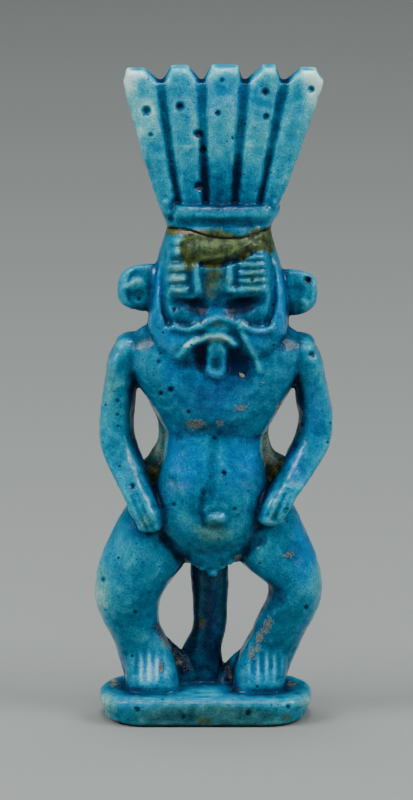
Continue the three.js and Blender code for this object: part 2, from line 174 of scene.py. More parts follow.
# %% Legs, arms, tail and ears
# each row: height, outer or left edge, inner or right edge, front, back
leg_rows = [
    [1.2, 12.6, 5.4, -3.2, 4.3],
    [4, 13.5, 5.6, -3.3, 4.2],
    [8, 15, 6.7, -3.9, 3.9],
    [11, 16.5, 7.6, -4.7, 3.8],
    [14, 17.5, 8.2, -5.7, 4],
    [17, 17.7, 7.6, -6.2, 4.6],
    [20, 17.1, 4.6, -6.3, 5.2],
    [24, 15.6, 3.6, -6.1, 5.6],
    [27.5, 13.9, 4.4, -5.6, 5.4],
    [30, 12.6, 5.6, -4.6, 4.6],
]
arm_rows = [
    [27.6, 11.2, 7.4, -7.9, -5.2],
    [29.6, 12.5, 7.5, -8.2, -3],
    [31.8, 13.6, 8.6, -7.6, -1.4],
    [34, 15, 9.9, -6.5, 0.2],
    [36.8, 16.7, 11, -5.1, 1.6],
    [39.5, 17.9, 12.2, -3.9, 2.7],
    [42.5, 18.1, 12.8, -3.3, 3.2],
    [46, 17.8, 12.5, -3.1, 3.4],
    [50, 17.1, 11.8, -3.3, 3.6],
    [53.2, 16.5, 9.8, -3.7, 3.6],
    [55, 15.6, 8.4, -3.6, 3.4],
]
tail_rows = [
    [-1, -4.6, 4.2, 1.2, 6.2],
    [1.5, -4.4, 3, 1.6, 6.2],
    [5, -3.8, 2.4, 2.2, 6.2],
    [8, -2.3, 2.9, 2.3, 6.2],
    [12, -2.4, 3.1, 2.4, 6.3],
    [18, -2.9, 3, 2.5, 6.6],
    [24, -3.2, 3.2, 2, 6.4],
]
foot_rows = [
    [-0.8, 12.4, 4.2, -4.9, 3.6],
    [1, 12.5, 4.2, -4.9, 3.6],
    [2.4, 12.6, 4.4, -4.5, 3.6],
    [4.5, 12.9, 5, -4.1, 3.5],
    [7, 13.3, 6, -3.7, 3.3],
    [10, 14.5, 7.6, -3.6, 3],
]
apron_rows = [
    [19.6, 0, 1.1, -4.5, -1],
    [20.1, -1.3, 2, -4.8, -1],
    [20.7, -2.6, 3.1, -5.1, -0.5],
    [21.9, -3.6, 4.2, -5.5, 0],
    [23.5, -4.6, 5.6, -5.9, 0],
]
ear_rows = [
    [63, 15.5, 5, -1.4, 1.8],
    [64.3, 15.6, 5, -1.5, 1.9],
    [65.6, 15.4, 5, -1.4, 1.7],
]
right_web_rows = [
    [-1, 9.5, 0, 0.4, 5.4],
    [2, 9.5, 1.2, 0.8, 5.2],
    [4, 9.6, 2.8, 1.2, 4.4],
    [5.6, 9.8, 4.5, 1.4, 3.9],
    [8.2, 10.5, 7.2, 1.6, 3],
]
left_web_rows = [
    [-1, 9.5, 0, 0.4, 5.4],
    [2.2, 9.5, 2.6, 0.8, 5.2],
    [4, 9.6, 4.1, 1.2, 4.2],
    [6.2, 9.8, 6.1, 1.4, 3.4],
    [7.4, 10.2, 7.1, 1.6, 3.1],
]
print("rows for a leg and an arm:", len(leg_rows), len(arm_rows))

# %% [markdown]
# ## From a table to a closed skin
# Three small functions do it. One draws smooth curves through the rows, one bends each row
# into a ring, and one closes the stack of rings with a fan at each end.

# %% Rings and skins
def lean_at(up):
    """How far the leaning middle line has moved across at a height."""
    return np.interp(up, middle_line[:, 0], middle_line[:, 1])


def placed(across, back, up):
    """Shares of the figure's height, measured from its leaning middle line, as millimetres."""
    across, back, up = np.broadcast_arrays(across, back, up)
    return np.stack([(across + lean_at(up)) * share, back * share, plinth_size[2] + up * share], axis=-1)


def smooth_rows(rows, count):
    """Rows at even heights. Between two rows each column is a cubic, and its slope at a row is
    that of the parabola through the row and its neighbours."""
    table = np.array(rows, float)
    heights = table[:, 0]
    slopes = np.gradient(table, heights, axis=0)
    up = np.linspace(heights[0], heights[-1], count)
    low = np.clip(np.searchsorted(heights, up) - 1, 0, len(heights) - 2)
    gap = (heights[low + 1] - heights[low])[:, None]
    t = (up - heights[low])[:, None] / gap
    return (
        (1 + 2 * t) * (1 - t) ** 2 * table[low] + t * (1 - t) ** 2 * gap * slopes[low]
        + t**2 * (3 - 2 * t) * table[low + 1] + t**2 * (t - 1) * gap * slopes[low + 1]
    )


def rings(rows, sides=48, squareness=2.3, draft=0.07, slant=0.0, shrink=1.0):
    """A ring for each row. Round it the width goes as the cosine and the depth as the sine,
    each to the power of two over the squareness. The front half narrows by the draft and
    moves across by the slant, both as shares of half the width. `shrink` scales each ring
    about its own middle."""
    up, left, right, front, back = np.asarray(rows, float).T[:, :, None]
    shrink = np.broadcast_to(shrink, len(rows))[:, None]
    turn = np.linspace(0, 2 * np.pi, sides, endpoint=False)
    wide = np.sign(np.cos(turn)) * np.abs(np.cos(turn)) ** (2 / squareness)
    deep = np.sign(np.sin(turn)) * np.abs(np.sin(turn)) ** (2 / squareness)
    wide = wide * (1 + draft * np.minimum(deep, 0)) - slant * np.minimum(deep, 0)
    return placed(
        (left + right) / 2 + wide * (right - left) / 2 * shrink,
        (front + back) / 2 + deep * (back - front) / 2 * shrink,
        up,
    )


def closed(grid):
    """Triangles over a stack of rings: two for each cell, and a fan about each end's middle."""
    count, sides = grid.shape[:2]
    points = np.vstack([grid.reshape(-1, 3), grid[0].mean(0), grid[-1].mean(0)])
    row = np.arange(count - 1)[:, None] * sides
    here = np.arange(sides)
    after = (here + 1) % sides
    a, b, c, d = row + here, row + after, row + sides + after, row + sides + here
    cells = np.stack([a, b, c, a, c, d], axis=-1).reshape(-1, 3)
    low = np.stack([np.full(sides, len(points) - 2), after, here], axis=-1)
    last = (count - 1) * sides
    high = np.stack([np.full(sides, len(points) - 1), last + here, last + after], axis=-1)
    return points, np.vstack([cells, low, high])


def stacked(rows, count=60, foot=0.0, crown=0.0, **shape):
    """A table as a closed skin. Its ends may be domes, quarter circles of the given heights."""
    smooth = smooth_rows(rows, count)
    angles = np.linspace(0, np.pi / 2, 8)[1:-1]
    shrink = np.ones(len(smooth))
    for end, height in ((0, -foot), (-1, crown)):
        if height:
            dome = np.repeat(smooth[[end]], len(angles), axis=0)
            dome[:, 0] += height * np.sin(angles)
            narrow = np.cos(angles)
            parts = (dome[::-1], smooth) if end == 0 else (smooth, dome)
            shrink = np.concatenate((narrow[::-1], shrink) if end == 0 else (shrink, narrow))
            smooth = np.concatenate(parts)
    return closed(rings(smooth, shrink=shrink, **shape))


def limb(rows, side):
    """A limb's table on one side: outer and inner edges become left and right ones."""
    table = np.array(rows, float)
    table[:, 1:3] = np.sort(side * table[:, 1:3], axis=1)
    return table


def ball(middle, radii, sides=40):
    """An oval ball: rings whose width follows the cosine and height the sine of the latitude."""
    lift = np.linspace(-np.pi / 2, np.pi / 2, sides // 2)[1:-1, None]
    turn = np.linspace(0, 2 * np.pi, sides, endpoint=False)
    x = radii[0] * np.cos(lift) * np.cos(turn)
    y = radii[1] * np.cos(lift) * np.sin(turn)
    z = radii[2] * np.sin(lift) + 0 * turn
    return closed(placed(*middle) + share * np.stack([x, y, z], axis=-1))


print("triangles in a ball:", len(ball((0, 0, 0), (1, 1, 1))[1]))


# %% [markdown]
# ## The plinth
# On the real figure the plinth is a flat lozenge of paste with rounded ends, and its edges
# are soft under the glaze. A bevelled box would do, but a stack of outlines that draws in
# towards the top and the foot keeps it in the same language as the limbs.

# %% Plinth
front_corner, back_corner = 4.4, 5.3


def plinth_outline(up, inset, tuck, corner_steps=24):
    """One outline: four quarter circles about the corners' middles, drawn in by the inset all
    round and by the tuck at the two ends."""
    turn = np.linspace(0, np.pi / 2, corner_steps)
    quarter = np.arange(4)[:, None] * np.pi / 2
    corner = np.array([back_corner, back_corner, front_corner, front_corner])[:, None]
    sign_x = np.array([1, -1, -1, 1])[:, None]
    sign_y = np.array([1, 1, -1, -1])[:, None]
    x = sign_x * (plinth_size[0] / 2 - corner) + (corner - inset) * np.cos(quarter + turn)
    y = sign_y * (plinth_size[1] / 2 - corner) + (corner - inset) * np.sin(quarter + turn)
    x *= 1 - tuck / (plinth_size[0] / 2)
    return np.stack([x, y, up + 0 * x], axis=-1).reshape(-1, 3)


def plinth_skin():
    """Outlines whose inset and height follow a quarter oval at the foot and a quarter circle at
    the top. The ends lean out from the foot, as the square of what is left of the height."""
    turns = np.linspace(0, np.pi / 2, 7)
    levels = [(foot_rise * (1 - np.sin(t)), foot_inset * (1 - np.cos(t))) for t in turns[::-1]]
    levels += [
        (plinth_size[2] - plinth_edge * (1 - np.sin(t)), plinth_edge * (1 - np.cos(t))) for t in turns
    ]
    tucks = [end_tuck * max(0.0, 1 - up / plinth_size[2]) ** 2 for up, inset in levels]
    return closed(np.stack([plinth_outline(up, inset, tuck) for (up, inset), tuck in zip(levels, tucks)]))


print("plinth triangles:", len(plinth_skin()[1]))

# %% [markdown]
# ## Limbs, body and head
# The pose is in the tables. What differs between the figure's two sides, such as the wider
# gap beside the tail and the hand that rests higher, is a few numbers here.

# %% Body skins
knee_shift, knee_height, knee_reach = 1.5, 17, 6
hand_rise, elbow, wrist = 1.2, 42.5, 31
ear_drop = 0.8
groin_front, groin_depth = -4.3, 0.7
groin_bumps = [(-0.9, 20.6, 0.9, 0.7), (0.6, 19.7, 0.8, 0.9), (1.9, 20.7, 0.8, 0.7), (3.1, 21.4, 0.8, 0.7)]


def leg(side):
    """The leg's table. Its inner edge moves by the knee's shift, which fades in a straight line
    to nothing at the knee's reach above and below."""
    table = np.array(leg_rows, float)
    table[:, 2] += side * knee_shift * np.clip(1 - np.abs(table[:, 0] - knee_height) / knee_reach, 0, 1)
    return stacked(limb(table, side), draft=0.14, crown=2, squareness=2.5)


def arm(side):
    """The arm's table. One hand rests higher: rows below the elbow rise in step with how far
    below it they are, and the whole way from the wrist down."""
    table = np.array(arm_rows, float)
    if side > 0:
        table[:, 0] += hand_rise * np.clip((elbow - table[:, 0]) / (elbow - wrist), 0, 1)
    corners = {"squareness": 4.6, "draft": 0.2, "slant": 0.2 * side}
    return stacked(limb(table, side), count=90, sides=64, foot=1.0, crown=2.2, **corners)


def ear(side):
    """A short stack between two domes. One ear sits lower than the other."""
    table = limb(ear_rows, side)
    if side > 0:
        table[:, 0] -= ear_drop
    return stacked(table, squareness=2.6, draft=0.0, foot=2.5, crown=2.5)


body_skins = [
    plinth_skin(),
    stacked(tail_rows, draft=0.0, squareness=2.6, crown=2.4),
    stacked(limb(right_web_rows, -1), draft=0.0),
    stacked(limb(left_web_rows, 1), draft=0.0),
    stacked(belly_rows, count=90),
    stacked(chest_rows, squareness=3.0, draft=0.1, crown=0.7),
    stacked(slab_rows, squareness=5, draft=0.0),
    stacked(head_rows, count=90, squareness=3.6),
    stacked(band_rows, squareness=2.8, draft=0.0),
    stacked(apron_rows, squareness=3.0, draft=0.0, crown=0.6),
]
for across, up, half_width, half_height in groin_bumps:
    body_skins.append(ball((across, groin_front, up), (half_width, groin_depth, half_height)))
for side in (-1, 1):
    body_skins += [leg(side), arm(side), ear(side)]
    body_skins.append(stacked(limb(foot_rows, side), squareness=3.4, draft=0.06))
print("body skins:", len(body_skins))

# %% [markdown]
# ## The crown
# Five plumes stand side by side and spread as they rise. Each has a flat tip with sloping
# shoulders, and a thin web joins them at the bottom of the grooves. They could be cut from one
# fan. Building each by itself gives every tip its own slopes, which the photograph shows.

# %% Crown skins
plume_foot, plume_notch = 76.9, 97.4
plume_tips = [99.3, 99.7, 99.8, 99.8, 99.4]
foot_edges = np.array([-9.1, -6.1, -2.2, 2.1, 5.6, 8.5])
top_edges = np.array([-15.7, -9.9, -3.5, 3.1, 9.2, 15.4])
tip_edges = np.array([[-15.2, -12.5], [-8.3, -5.6], [-2.0, 2.2], [6.0, 7.8], [11.8, 14.2]])
groove_foot, groove_top = 0.1, 0.25
foot_depth, top_depth = 3.4, 2.2
flare = 0.85
tip_steps = [(0.4, 0.97), (0.8, 0.88), (1.0, 0.62)]
web_inset, web_thickness = 0.8, 0.72


def fan_rows(rise, left, right, left_inset, right_inset, thickness=1.0):
    """Rows from the band up to the notches, between two of the fan's edges. An edge moves from
    its place at the foot to its place at the top as the height to the power of the flare, and
    then inwards by its inset."""
    spread = rise ** flare
    depth = thickness * (foot_depth + rise * (top_depth - foot_depth))
    return np.stack([
        plume_foot + rise * (plume_notch - plume_foot),
        foot_edges[left] + spread * (top_edges[left] - foot_edges[left]) + left_inset,
        foot_edges[right] + spread * (top_edges[right] - foot_edges[right]) - right_inset,
        -depth,
        depth,
    ], axis=-1)


def plume(index):
    """Its edges draw in by half a groove that widens as the height squared. Then the tip's
    rows step in to its own edges while it thins."""
    rise = np.linspace(0, 1, 24)
    gap = groove_foot + (groove_top - groove_foot) * rise**2
    rows = fan_rows(rise, index, index + 1, gap * (index > 0), gap * (index < 4))
    left, right = rows[-1, 1:3]
    tip = [
        [
            plume_notch + step * (plume_tips[index] - plume_notch),
            left + step * (tip_edges[index][0] - left),
            right + step * (tip_edges[index][1] - right),
            -top_depth * thin,
            top_depth * thin,
        ]
        for step, thin in tip_steps
    ]
    return closed(rings(np.vstack([rows, tip]), squareness=3.8, draft=0.0))


def plume_web():
    """The thinner fan behind the grooves, from the first edge to the last."""
    rows = fan_rows(np.linspace(0, 1, 12), 0, 5, web_inset, web_inset, web_thickness)
    return closed(rings(rows, squareness=6, draft=0.0))


crown_skins = [plume(index) for index in range(5)] + [plume_web()]
print("crown triangles:", sum(len(cells) for points, cells in crown_skins))

# %% [markdown]
# ## One skin
# Paste pressed into a mould has no seams between arm and body. A voxel remesh gives that: it
# fills space with small cubes and keeps only the outer surface of everything together. It
# works here in millimetres. The cubes are 0.14 mm, about one pixel of the photograph.

# %% Fusing
def join(skins):
    """Points of all skins after one another, with each skin's triangles counted on from there."""
    starts = np.cumsum([0] + [len(points) for points, cells in skins[:-1]])
    points = np.vstack([points for points, cells in skins])
    return points, np.vstack([cells + start for start, (corners, cells) in zip(starts, skins)])


def as_mesh(name, points, faces):
    """Whole arrays into a new mesh: points, then each face's corners in turn."""
    mesh = bpy.data.meshes.new(name)
    corners = faces.shape[1]
    mesh.vertices.add(len(points))
    mesh.vertices.foreach_set("co", points.astype(np.float32).ravel())
    mesh.loops.add(faces.size)
    mesh.loops.foreach_set("vertex_index", faces.astype(np.int32).ravel())
    mesh.polygons.add(len(faces))
    mesh.polygons.foreach_set("loop_start", np.arange(0, faces.size, corners, dtype=np.int32))
    mesh.update(calc_edges=True)
    return mesh


def remeshed(points, faces, cube):
    """The skin again as even squares, one for each cube that the surface passes through."""
    worker = bpy.data.objects.new("worker", as_mesh("worker", points, faces))
    scene.collection.objects.link(worker)
    remesh = worker.modifiers.new("cubes", "REMESH")
    remesh.mode = "VOXEL"
    remesh.voxel_size = cube
    done = worker.evaluated_get(bpy.context.evaluated_depsgraph_get()).to_mesh()
    new_points = np.empty(len(done.vertices) * 3, np.float32)
    done.vertices.foreach_get("co", new_points)
    new_faces = np.empty(len(done.loops), np.int32)
    done.loops.foreach_get("vertex_index", new_faces)
    mesh = worker.data
    bpy.data.objects.remove(worker)
    bpy.data.meshes.remove(mesh)
    return new_points.reshape(-1, 3).astype(float), new_faces.reshape(-1, 4)


cube = 0.14
points, faces = remeshed(*join(body_skins + crown_skins), cube)
print("squares after the first fusing:", len(faces))

# %% [markdown]
# ## Smoothing
# Cubes leave faint steps. Moving every point part of the way to the middle of its neighbours
# melts them, and moving it back out by slightly more keeps the figure from shrinking. A
# smoothing modifier would do the same to every part. Doing it here lets the torso be melted
# longer, because chest and belly flow into one another.

# %% Smoothing and normals
def pairs_of(faces):
    """Each side of each square, as a point and its neighbour. Every side belongs to two
    squares that run round it opposite ways, so each point meets each neighbour once."""
    here = faces.ravel()
    after = np.roll(faces, -1, axis=1).ravel()
    return here, after, np.bincount(here)


def neighbour_mean(values, pairs):
    """The mean of the values at each point's neighbours."""
    here, after, count = pairs
    if values.ndim == 1:
        return np.bincount(here, values[after], len(count)) / count
    return np.stack([neighbour_mean(column, pairs) for column in values.T], axis=-1)


def melted(points, pairs, times, inward=0.5, outward=-0.52):
    """A step in towards the neighbours' mean, then a slightly longer step out, many times."""
    for step in np.tile([inward, outward], times):
        points = points + step * (neighbour_mean(points, pairs) - points)
    return points


def normals_of(points, faces):
    """At each point, the sum of its squares' normals, which are their diagonals' cross product."""
    diagonal = points[faces[:, 2]] - points[faces[:, 0]]
    other = points[faces[:, 3]] - points[faces[:, 1]]
    flat = np.repeat(np.cross(diagonal, other), 4, axis=0)
    total = np.stack([np.bincount(faces.ravel(), column, len(points)) for column in flat.T], axis=-1)
    return total / np.maximum(np.linalg.norm(total, axis=1, keepdims=True), 1e-12)


def ramp(value, start, length):
    """0 up to the start and 1 from the length beyond it on, with a straight line between."""
    return np.clip((value - start) / length, 0, 1)


def up_the_figure(points):
    """Heights above the plinth in hundredths of the figure's height."""
    return (points[:, 2] - plinth_size[2]) / share


melt_times, torso_times = 12, 50
pairs = pairs_of(faces)
points = melted(points, pairs, melt_times)
up = up_the_figure(points)
torso_middle, torso_half_width, groin_height, collar_height = 1.2, 9.5, 19, 58
in_torso = ramp(torso_half_width - np.abs(points[:, 0] / share - torso_middle), 0, 2)
in_torso *= ramp(up, groin_height, 3) * ramp(collar_height - up, 0, 4)
points += in_torso[:, None] * (melted(points, pairs, torso_times) - points)
print("after smoothing, mm:", np.round([points.min(0), points.max(0)], 2).tolist())

# %% [markdown]
# ## Carving
# The carver's lines are shallow and all on the front, so they are cut by pushing the skin in
# or out along the line of sight from the front. Each is a line or an oval with a height and a
# half width in millimetres. Places are given as the camera sees them: across from the middle
# of the plinth, and up from the plinth's lower front edge.

# %% Carving tools
def seen_from_front(points):
    """Across, and the height that the tilted camera sees, which mixes height and depth."""
    rise = points[:, 2] * math.cos(camera_rise) + (points[:, 1] + plinth_size[1] / 2) * math.sin(camera_rise)
    return np.stack([points[:, 0], rise], axis=-1)


def swell(distance):
    """One less the square of the distance, squared: 1 at the middle and flat at the edge."""
    return np.clip(1 - distance**2, 0, 1) ** 2


def line_relief(seen, path, height, half_width, flat=0.0):
    """A ridge or groove along a path: the swell of the distance to its nearest part. `flat` is
    the share of the half width that stays level before the side falls away."""
    path = np.array(path, float)
    relief = np.zeros(len(seen))
    near = ((seen > path.min(0) - half_width) & (seen < path.max(0) + half_width)).all(axis=1)
    close = seen[near][:, None]
    start, run = path[:-1], np.diff(path, axis=0)
    along = np.clip(((close - start) * run).sum(-1) / (run**2).sum(-1), 0, 1)
    away = np.linalg.norm(close - start - along[..., None] * run, axis=-1).min(axis=1) / half_width
    relief[near] = height * swell(np.clip((away - flat) / (1 - flat), 0, 1))
    return relief


def oval_relief(seen, middle, radii, height, tilt=0.0, flat=0.0):
    """A mound or hollow: the swell of the distance, measured in the oval's own radii."""
    x, y = (seen - middle).T
    turned = np.stack([x * math.cos(tilt) + y * math.sin(tilt), y * math.cos(tilt) - x * math.sin(tilt)])
    away = np.hypot(turned[0] / radii[0], turned[1] / radii[1])
    return height * swell(np.clip((away - flat) / (1 - flat), 0, 1))


def shelf_relief(seen, path, depth, reach, steep=0.4):
    """A hollow under an overhanging edge: it drops at once below the path and climbs back
    slowly, as one less a quick decay times a slow one. It fades out just past both ends."""
    path = np.array(path, float)
    across = seen[:, 0]
    below = np.interp(across, path[:, 0], path[:, 1]) - seen[:, 1]
    middle = (path[0, 0] + path[-1, 0]) / 2
    window = swell(np.abs(across - middle) / (path[-1, 0] - path[0, 0]) * 1.7)
    drop = np.maximum(below, 0)
    return -depth * window * (1 - np.exp(-drop / steep)) * np.exp(-((drop / reach) ** 2))


def lines(seen, table, under=0.0):
    """What lies under, plus a table's lines: each row is a path, a height and a half width."""
    return sum((line_relief(seen, *row) for row in table), under)


def ovals(seen, table, under=0.0, flat=0.0):
    """What lies under, plus a table's ovals: each row is across, rise, half width, half height
    and height, and may end with a tilt."""
    return sum((oval_relief(seen, row[:2], row[2:4], *row[4:], flat=flat) for row in table), under)


print("half way out, a swell is", swell(np.array(0.5)))

# %% [markdown]
# ## The face
# The brows hang in short level folds over deep sockets, a fold under the eyes climbs over the
# nose, and the tongue hangs from an arched lip. The hollows come first and what stands in
# them, such as the tongue, is added after.

# %% Face
crack_path = [(-4.3, 53.75), (-1.56, 53.4), (0.27, 52.75), (2, 52.5), (3.8, 52.55), (5.5, 53), (7, 53.75)]
lip_path = [(-2.7, 39.9), (-2.1, 40.6), (-1.1, 41.35), (0.1, 41.8), (1.4, 41.95), (2.5, 41.65), (3.1, 41.05)]

# path, height, half width, and the share that stays level
tongue = ([(1.13, 40.3), (1.13, 38.8)], 0.6, 1.6, 0.45)
socket_tops = [
    [(-4.2, 46.3), (-2.2, 46.15), (-0.2, 46.2)],
    [(2.3, 46.1), (4.2, 46.3), (6.8, 46.45)],
]
socket_depth, socket_reach = 0.7, 1.4
face_lines = [
    # furrows between the face and the mane, and the rims beside them
    ([(-4.6, 52.4), (-4.5, 50.05), (-4.6, 48), (-4.5, 46.3), (-4.3, 44.6), (-3.9, 43.4)], -0.5, 0.6),
    ([(6.85, 52.1), (7, 50.5), (7.2, 49.1), (7.27, 47.5), (7.24, 46), (6.97, 44.4), (6.6, 43.5)], -0.5, 0.6),
    ([(-5.2, 50.05), (-5.4, 47.6), (-5.3, 45.4), (-4.9, 43.6)], 0.2, 0.6),
    ([(7.8, 50.05), (8.1, 47), (8.1, 44.7)], 0.2, 0.6),
    # the cap over the brows, its lip and the crease under it
    ([(-1.02, 51.3), (1, 51.15), (3.2, 51.4), (4.5, 52.1)], 0.4, 1.25),
    ([(-0.48, 50.3), (0.7, 50.35), (1.77, 50.45), (2.74, 50.75), (3.49, 51.2), (4.45, 51.8)], 0.25, 0.45),
    ([(-0.38, 49.75), (0.7, 49.6), (1.77, 49.7), (2.84, 50), (4, 50.45), (4.77, 50.9)], -0.35, 0.4),
    # upright folds above the nose
    ([(-1.05, 49.4), (-0.9, 48.1), (-0.75, 47)], 0.42, 0.72),
    ([(2.6, 49.5), (2.55, 48.1), (2.6, 47)], 0.42, 0.72),
    # level folds of the brows
    ([(-3.6, 49.4), (-2.4, 49.4)], 0.42, 0.68),
    ([(-3.6, 48.2), (-2.4, 48.2)], 0.42, 0.68),
    ([(-3.6, 46.98), (-2.2, 46.95)], 0.46, 0.74),
    ([(4.4, 50.5), (6.1, 50.5)], 0.3, 0.5),
    ([(4, 49.65), (6.2, 49.68)], 0.3, 0.5),
    ([(3.9, 48.8), (6.2, 48.85)], 0.3, 0.5),
    ([(3.8, 47.95), (6.2, 48.05)], 0.3, 0.5),
    ([(3.2, 46.85), (4.56, 47.05), (6.3, 47.15)], 0.42, 0.72),
    # the crack under the crown, and the end of the roll above it
    (crack_path, -0.25, 0.25),
    ([(-3.25, 56.6), (-3.6, 54.6)], -0.3, 0.5),
    # the bridge of the nose
    ([(1.15, 47.2), (1.2, 46)], 0.3, 1.4),
    ([(-0.8, 43.2), (0.8, 44.4), (1.7, 44.4), (3.6, 43.2)], 0.2, 1.1),
    # folds under the eyes and over the nose, the lip, and the fold from nose to cheek
    ([(-3.7, 43.1), (-2.6, 42.85), (-1.6, 42.75), (-0.9, 43.1)], 0.4, 0.6),
    ([(3.6, 43.6), (4.4, 43), (5.3, 42.65), (6.3, 42.6), (7.1, 42.9)], 0.4, 0.6),
    ([(-0.5, 43), (0.5, 43.7), (1.5, 44), (2.5, 43.7), (3.5, 43)], 0.22, 0.5),
    (lip_path, 0.52, 0.75),
    ([(3.75, 42.8), (4.1, 41.9), (4.7, 40.95), (5.4, 39.7), (5.85, 38.3)], 0.24, 0.55),
]
face_ovals = [
    # outer ends of the brows, the hollow between them, and the knobs beside the band
    (-2.9, 52.2, 1.05, 0.7, 0.4), (-3.05, 51, 1.05, 0.75, 0.4), (5.6, 51.75, 0.9, 0.5, 0.28, 0.3),
    (0.8, 48.1, 1.1, 1.6, -0.12), (-2.65, 55.6, 0.5, 0.6, 0.2), (-4.25, 56.3, 0.5, 0.6, 0.25),
    (6.6, 55.5, 0.6, 0.7, 0.22), (7.45, 56.3, 0.5, 0.6, 0.25),
    # inner corners of the sockets, and the eyeballs
    (-0.9, 45.3, 1.5, 1.2, -0.4), (3.7, 45.3, 1.8, 1.2, -0.4), (-2.84, 44.5, 1.9, 1.3, 0.28),
    (5.3, 44.4, 1.9, 1.3, 0.28),
    # the nose, and the muzzle on both sides of the mouth
    (1.3, 43.8, 2.2, 1.8, 0.25), (1.3, 42.6, 2.6, 0.9, 0.25), (-2.4, 41.5, 2.6, 1.9, 0.35, 0.5),
    (4.9, 41.5, 2.4, 1.9, 0.3, -0.5),
    # the open mouth and its two deepest places
    (1.4, 39.8, 4, 3.2, -0.4), (-0.5, 39.9, 1.1, 2, -0.3, 0.15), (3.4, 39.3, 1.7, 2.1, -0.3),
]


def face_relief(seen):
    """The sockets, then the lines and the ovals, and the tongue on top."""
    relief = sum(shelf_relief(seen, path, socket_depth, socket_reach) for path in socket_tops)
    relief = ovals(seen, face_ovals, lines(seen, face_lines, relief))
    return relief + line_relief(seen, *tongue)


print("lines and ovals of the face:", len(face_lines), len(face_ovals))

# %% [markdown]
# ## Ears, body, hands and feet
# These take fewer lines: a rim and two hollows in each ear, the crease under the chest, the
# groove down the belly, the navel, fingers and toes.

# %% Body relief
ear_rims = [
    [(-5.95, 50), (-6.9, 49.9), (-7.95, 49.4), (-8.6, 48.6), (-8.8, 47.1), (-8.65, 45.8), (-8, 45.1)],
    [(9.07, 48.95), (10.1, 49.15), (11.05, 48.9), (11.65, 48.05), (11.8, 46.9), (11.35, 45.7), (10.4, 45)],
]
cuff_path = [(8.2, 26.35), (9.3, 25.8)]
body_lines = [
    # ears
    (ear_rims[0], 0.3, 0.6),
    ([(-8.5, 47.3), (-7.4, 48), (-6.4, 47.5)], 0.2, 0.45),
    (ear_rims[1], 0.25, 0.6),
    # under the chest, down the belly, round the navel and along the groin
    ([(-5.2, 33.5), (-3.27, 32.4), (-0.59, 31.9), (2.09, 31.9), (4.77, 32.5), (6.06, 33.4)], -0.12, 1.2),
    ([(0.85, 30.9), (0.8, 29.2), (0.6, 26.7), (0.2, 24.5)], -0.18, 0.95),
    ([(-0.3, 25.4), (-0.5, 23.3), (-0.1, 22)], -0.16, 0.6),
    ([(-4.6, 20.4), (-2.74, 18.6), (-0.59, 17.6)], -0.25, 0.8),
    ([(1.9, 17.7), (3.9, 18.6), (6, 20.2)], -0.25, 0.8),
    # grooves between the fingers
    ([(-7.9, 24.9), (-6.1, 21)], -0.13, 0.35),
    ([(-7.3, 25), (-5.6, 21.3)], -0.13, 0.35),
    ([(8.5, 25.1), (7.3, 22.5)], -0.16, 0.35),
    ([(9.2, 24.8), (8.5, 23.3)], -0.13, 0.32),
    ([(7.6, 25), (6.6, 22.9)], -0.12, 0.32),
    # the cuff at the wrist
    (cuff_path, 0.13, 0.3),
]
body_ovals = [
    # the hollows and the knob of the ears, and the navel, which stands out
    (-7.3, 48.7, 1.2, 0.85, -0.28), (-7.3, 46.6, 1.1, 0.8, -0.28), (9.9, 47.3, 1.4, 1.4, -0.32),
    (10.4, 45.8, 0.7, 0.5, 0.2), (1.2, 22.5, 1.5, 0.9, 0.6),
]
arm_edges = [
    [(-8.6, 31.2), (-7.6, 28.7), (-6.6, 26.6), (-5.3, 24.2)],
    [(10.4, 30.2), (9.25, 28.9), (8.2, 27.4), (7.6, 25.8), (6.4, 24.1)],
]
arm_edge_height, arm_edge_half_width = 0.08, 0.24
toe_grooves = [-7.35, -6.5, -5.65, -4.75, 5.2, 6.1, 7, 7.8]
toe_rise, toe_half_width, toe_half_length, toe_depth = 6.4, 0.5, 2.3, 0.3

# each pit: across, rise, radius
pit_places = [
    (-6.28, 66.15, 0.7), (-2.74, 66.6, 0.6), (1.34, 65.9, 0.42), (1.77, 69.4, 0.36), (-5.85, 63.6, 0.36),
    (6.38, 68.1, 0.55), (6.49, 65.5, 0.45), (11.3, 68.4, 0.55), (-0.8, 63.7, 0.65), (-0.7, 58.1, 0.65),
    (-3.7, 36.4, 0.42), (-4.77, 36, 0.36), (-7.8, 26, 0.44), (1.98, 27.4, 0.42), (11.43, 40.1, 0.55),
    (4.99, 48.1, 0.3), (11, 48.15, 0.75), (-7.1, 46.1, 0.3), (-3.3, 44.9, 0.32), (0.95, 31.2, 0.3),
    (-0.25, 62, 0.5), (-1.8, 34, 0.32), (-9.4, 35.2, 0.28), (10.4, 32.6, 0.3), (-5, 39.4, 0.3),
    (3.1, 23.6, 0.3), (-3.4, 24.1, 0.3), (-11, 16, 0.4), (10.8, 13, 0.36), (-7.6, 12.5, 0.3),
    (-7.3, 2, 0.36), (4.6, 1.6, 0.4), (8.9, 2.3, 0.36), (-2.4, 1.2, 0.3),
]
pit_depth_by_radius = 0.55


def body_relief(seen):
    """The lines and ovals below and beside the face, the pits, the sharp inner edges of the
    forearms, and the grooves between the toes."""
    relief = ovals(seen, body_ovals, lines(seen, body_lines))
    pits = [(x, y, radius, radius, -pit_depth_by_radius * radius) for x, y, radius in pit_places]
    edges = [(path, arm_edge_height, arm_edge_half_width) for path in arm_edges]
    toes = [(x, toe_rise, toe_half_width, toe_half_length, -toe_depth) for x in toe_grooves]
    return ovals(seen, toes, lines(seen, edges, ovals(seen, pits, relief)))


print("lines and ovals of the body:", len(body_lines), len(body_ovals), "pits:", len(pit_places))

